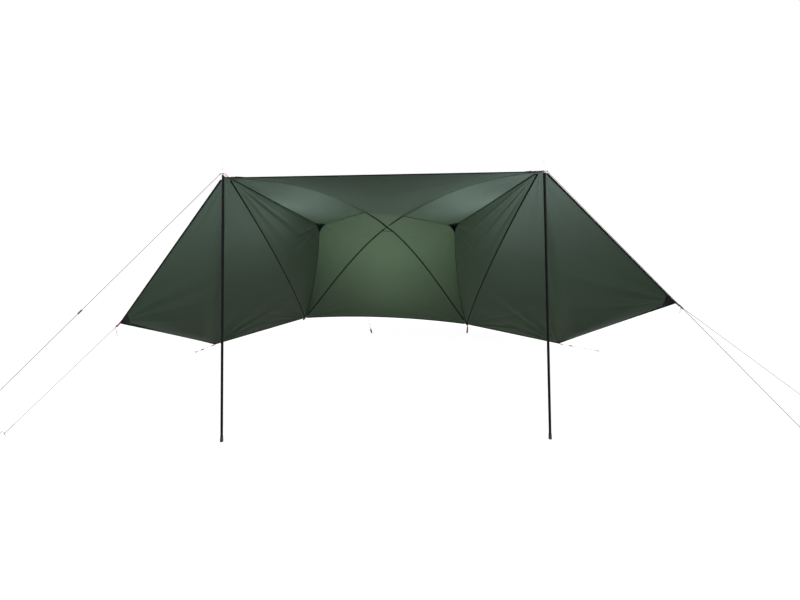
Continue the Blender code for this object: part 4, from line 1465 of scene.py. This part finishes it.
    def lower_edge(self, panel: str, columns: Array) -> tuple[list[Array], list[Array]]:
        """The lower edge of a panel and how its cloth runs up from it.

        Args:
            panel: The panel's name.
            columns: Its columns, in the order in which the hem runs.

        Returns:
            Points of the edge, and for each stretch between them a direction into the cloth.
        """
        cloth = self.canopy.panels[panel]
        edge, above = (
            cloth.on_cloth(np.full(len(columns), row), columns, 0.0) for row in (CORNER, CORNER - 0.12)
        )
        rise = above - edge
        return list(edge), list((rise[1:] + rise[:-1]) / 2)

    def front_hem(self) -> None:
        """The hem along the front of the roof."""
        ends = [side.peak - spot(side.sign * 0.006, 0.0, self.front_drop) for side in SIDES]
        self.hem("front_hem_tape", ends, [spot(0.0, 1.0, -0.12)], ["front_hem"], self.front_thickness)

    def back_hem(self) -> None:
        """The hem along the foot of the back wall."""
        edge, inwards = self.lower_edge("back_cloth", np.linspace(0.012, 0.988, 22))
        self.hem("back_hem_tape", edge, inwards, ["back_hem"], self.hem_thickness, (self.lower_hem,))

    def sleeve(self, side: Side) -> None:
        """The pole's sleeve, a little gathered."""
        path = SHAPE.pole_line(side, 0.024, 0.983, 260)
        t = np.linspace(0.0, 1.0, len(path))
        gather = 1.0 + 0.035 * np.sin(2 * math.pi * 62 * t) + 0.02 * np.sin(2 * math.pi * 97 * t + 1.0)
        across, up = carried_frames(path, spot(1.0, 0.0, 0.0))
        profile = circle(self.sleeve_radius, 14, 0.92)
        sleeve = sweep(f"{side.name}_gathered_sleeve", path, across, up, profile, gather)
        finish_piece(sleeve, SLEEVE_CLOTH, replaces=[f"{side.name}_pole_sleeve"])

    def shell(self, panel: str, rows: Array, depth: Array, from_last: bool = False) -> tuple[Array, list]:
        """Doubled cloth along one edge of a panel.

        Args:
            panel: The panel's name.
            rows: Rows of the panel.
            depth: How far it reaches in from the edge at each row, in metres.
            from_last: Whether it starts at the panel's last column.

        Returns:
            Its points, and the faces between them.
        """
        cloth = self.canopy.panels[panel]
        first, last = (cloth.on_cloth(rows, np.full(len(rows), end), 0.0) for end in (0.0, 1.0))
        width = np.maximum(np.linalg.norm(last - first, axis=1), 1e-6)
        reach = np.minimum(depth / width, 1.0)[:, None] * np.linspace(0.0, 1.0, 10)[None]
        columns = 1.0 - reach if from_last else reach
        points = cloth.on_cloth(np.broadcast_to(rows[:, None], columns.shape), columns, self.patch_lift)
        return points.reshape(-1, 3), grid_faces(len(rows), 10)

    def patch(self, name: str, shells: Sequence[tuple[Array, list]], replaces: Sequence[str]) -> None:
        """One patch made of doubled cloth on one or more panels."""
        verts, faces = [], []
        for points, quads in shells:
            base = sum(len(part) for part in verts)
            verts.append(points)
            faces += [tuple(base + n for n in q) for q in quads]
        points = np.vstack(verts)
        self.finish_patch(new_object(name, points, faces, planar_uv(points)), replaces)

    def shoulder_patch(self, side: Side) -> None:
        """A three-armed patch of doubled cloth inside the shoulder."""
        ahead, behind = EAVE - self.star_front, EAVE + self.star_rear
        front = np.linspace(ahead, EAVE, 12)
        rear = np.linspace(EAVE, behind, 12)
        rise = (front - ahead) / self.star_front
        drop = (behind - rear) / self.star_rear
        whole, both = np.concatenate([front, rear[1:]]), np.concatenate([rise, drop[1:]])
        panel = f"{side.name}_shoulder_cloth"
        self.patch(
            f"{side.name}_shoulder_star",
            [
                self.shell(panel, front, self.star_eave * rise**1.8, True),
                self.shell(panel, rear, self.star_eave * drop**1.8, True),
                self.shell(f"{side.name}_rear_side_cloth", whole, self.star_side * both**1.8),
            ],
            [f"{side.name}_shoulder_patch"],
        )

    def wing_patch(self, side: Side) -> None:
        """A triangle of doubled cloth in the wing's corner."""
        rows = np.linspace(CORNER - self.wing_rows, CORNER, 12)
        depth = self.wing_reach * ((rows - rows[0]) / self.wing_rows) ** 1.15
        shell = self.shell(f"{side.name}_wing_cloth", rows, depth, True)
        self.patch(f"{side.name}_wing_triangle", [shell], [f"{side.name}_wing_patch"])

    def foot_patch(self, side: Side) -> None:
        """Doubled cloth at the back corner, above the pole's pocket."""
        rows = np.linspace(CORNER - self.foot_rows, CORNER - 0.04, 8)
        panels = (f"{side.name}_shoulder_cloth", f"{side.name}_rear_side_cloth")
        shells = [self.shell(panel, rows, np.full(8, 1.0)) for panel in panels]
        self.patch(f"{side.name}_foot_patch", shells, [])

    def finish_patch(self, obj: bpy.types.Object, replaces: Sequence[str]) -> None:
        """Joins a patch's parts and gives it its thickness and finish."""
        edit_whole(obj, lambda: bpy.ops.mesh.remove_doubles(threshold=0.0001), face_outwards)
        thicken(obj, self.patch_thickness)
        finish_piece(obj, DOUBLE_CLOTH_PAINTED_SHADE, replaces=replaces)


def planar_uv(points: Array) -> Array:
    """Coordinates in metres on the plane that fits a set of points best."""
    centred = points - points.mean(0)
    _, _, axes = np.linalg.svd(centred, full_matrices=False)
    return centred @ axes[:2].T


# Webbing
@dataclass
class Webbing:
    """Crimson webbing at the peaks, the wing corners, the side corners and the back."""

    tape_width: float = 0.025
    tape_thickness: float = 0.0022
    loop_width: float = 0.020
    loop_thickness: float = 0.0013
    hole_radius: float = 0.0052
    ring_radius: float = 0.0066
    ring_wire: float = 0.0014
    pocket_radius: float = 0.0108
    pocket_length: float = 0.068
    pocket_floor: float = 0.0095

    def build(self) -> None:
        """Makes every piece of webbing, and the eyelets."""
        for side in SIDES:
            self.peak_tape(side)
            for kind, corner in (("wing", side.wing), ("side", side.corner)):
                guy = next(g for g in GUYS if g.name == f"{side.name}_{kind}")
                cloth = unit(np.cross(side.peak - side.wing, side.corner - side.wing))
                face = cloth if kind == "wing" else UP
                self.corner_loop(f"{side.name}_{kind}", corner, guy, face)
            self.pocket(side)
        run = ((1.147, 2.9831), (1.12, 2.85), (1.10, 2.75), (1.08, 2.66))
        back = strap("back_corner_strap", [spot(x, y, 0.0013) for x, y in run])
        finish_piece(back, CRIMSON, replaces=["right_back_strap"])

    def peak_tape(self, side: Side) -> None:
        """The tape at a peak, doubled round the front hem, with its eyelet."""
        out = spot(side.sign, 0.0, 0.0)
        over = [side.eyelet + out * reach for reach in (0.016, 0.0, -0.014)]
        under = [side.peak - out * reach for reach in (0.004, 0.030)]
        path = spline([*over, *under], 0.004)
        across = np.broadcast_to(spot(0.0, 1.0, 0.0), path.shape)
        up = np.cross(tangents(path), across)
        profile = band(-self.tape_width / 2, self.tape_width / 2, self.tape_thickness)
        tape = sweep(f"{side.name}_peak_webbing", path, across, up, profile)
        self.punch(tape, side.eyelet)
        finish_piece(tape, CRIMSON, replaces=[f"{side.name}_peak_tape"])
        self.eyelet(side)

    def punch(self, tape: bpy.types.Object, place: Array) -> None:
        """Cuts the round hole that the eyelet lines."""
        select_all_off()
        bpy.ops.mesh.primitive_cylinder_add(
            vertices=32, radius=self.hole_radius, depth=0.02, location=in_frame(place).tolist()
        )
        cutter = bpy.context.active_object
        hole = tape.modifiers.new("Hole", "BOOLEAN")
        hole.operation = "DIFFERENCE"
        hole.solver = "EXACT"
        hole.object = cutter
        apply_modifiers(tape)
        bpy.data.objects.remove(cutter)

    def eyelet(self, side: Side) -> None:
        """The rolled metal eyelet that lines the hole."""
        select_all_off()
        bpy.ops.mesh.primitive_torus_add(
            major_segments=40, minor_segments=14, major_radius=self.ring_radius, minor_radius=self.ring_wire,
            location=in_frame(side.eyelet).tolist(),
        )
        finish_piece(settle(f"{side.name}_eyelet_ring", side.eyelet, (1.0, 1.0, 0.8)), PLATED)

    def corner_loop(self, name: str, corner: Array, guy: Guy, face: Array) -> None:
        """A doubled loop of webbing that is sewn in the corner and holds the guy.

        Args:
            name: The loop's name.
            corner: The cloth's corner.
            guy: The guy that it holds.
            face: The direction that the webbing's flat faces.
        """
        out = guy.along
        across = unit(np.cross(out, face))
        up = np.cross(across, out)
        tip, inner = guy.start - out * 0.001, corner - out * 0.022
        eye, half = tip - out * 0.006, 0.0008
        upper = ((inner, half), (corner, half), (eye - out * 0.008, half), (eye, 0.0042), (tip, 0.0022))
        lower = [place - up * rise for place, rise in upper[::-1]]
        path = spline([*[place + up * rise for place, rise in upper], *lower], 0.003)
        direction = np.broadcast_to(across, path.shape)
        profile = band(-self.loop_width / 2, self.loop_width / 2, self.loop_thickness)
        loop = sweep(f"{name}_loop", path, direction, np.cross(tangents(path), direction), profile)
        finish_piece(loop, CRIMSON, replaces=[f"{name}_tape"])

    def pocket(self, side: Side) -> None:
        """The sewn pocket that holds the pole's foot."""
        path = SHAPE.pole_line(side, 0.0, 0.03, 24)
        down = unit(path[0] - path[3])
        foot = path[0] + down * (path[0][2] - self.pocket_floor) / -down[2]
        line = spline([foot, path[0], path[8], path[20]], 0.004)
        line = line[np.linalg.norm(line - line[0], axis=1) <= self.pocket_length]
        t = np.linspace(0.0, 1.0, len(line))
        scale = 0.8 + 0.2 * smooth(0.0, 0.12, t) + 0.06 * np.sin(t * 17.0) * t
        pocket = tube(f"{side.name}_sewn_pocket", line, self.pocket_radius, 18, scale)
        finish_piece(pocket, DOUBLE_CLOTH_PAINTED_SHADE, replaces=[f"{side.name}_pole_pocket"])


# Hard parts
HARD_NODES: dict[str, Finish] = {
    "upright_upper": POWDER_COAT, "upright_lower": POWDER_COAT, "foot": RUBBER, "spike": PLATED,
    "flexible_pole": GLASS_FIBRE, "main_runner": NYLON, "side_runner": NYLON,
}


def dress_hard_nodes() -> None:
    """Gives every hard solid that stays its finish."""
    for word, finish in HARD_NODES.items():
        for side in SIDES:
            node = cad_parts[f"{side.name}_{word}"]
            for place in node.material_slots:
                place.material = finish.build()
            log.info("%s: %s", node.name, finish.name)


@dataclass
class SpringButton:
    """The sprung button that locks the two tubes of an upright together."""

    side: Side
    radius: float = 0.0032
    flatness: float = 0.75
    below_eyelet: float = 0.978
    behind_axis: float = 0.0088

    def build(self) -> None:
        """Sets the domed button in the rear of the tube, just above the joint."""
        axis = unit(self.side.foot - self.side.eyelet)
        place = self.side.eyelet + axis * self.below_eyelet + spot(0.0, self.behind_axis, 0.0)
        select_all_off()
        bpy.ops.mesh.primitive_uv_sphere_add(
            segments=20, ring_count=12, radius=self.radius, location=in_frame(place).tolist()
        )
        button = settle(f"{self.side.name}_spring_button", place, (1.0, self.flatness, 1.0))
        finish_piece(button, PLATED, f"{self.side.name}_upright")


def main() -> None:
    """Builds the room, the cords, the cloth and the rest, in that order."""
    studio = Studio()
    studio.camera()
    for guy in GUYS:
        guy.build()
    build_hem_cord()
    canopy = Canopy()
    canopy.build()
    Sewing(canopy).build()
    Webbing().build()
    dress_hard_nodes()
    for side in SIDES:
        SpringButton(side).build()
    studio.lights()
    studio.floor()


if __name__ == "__main__":
    main()
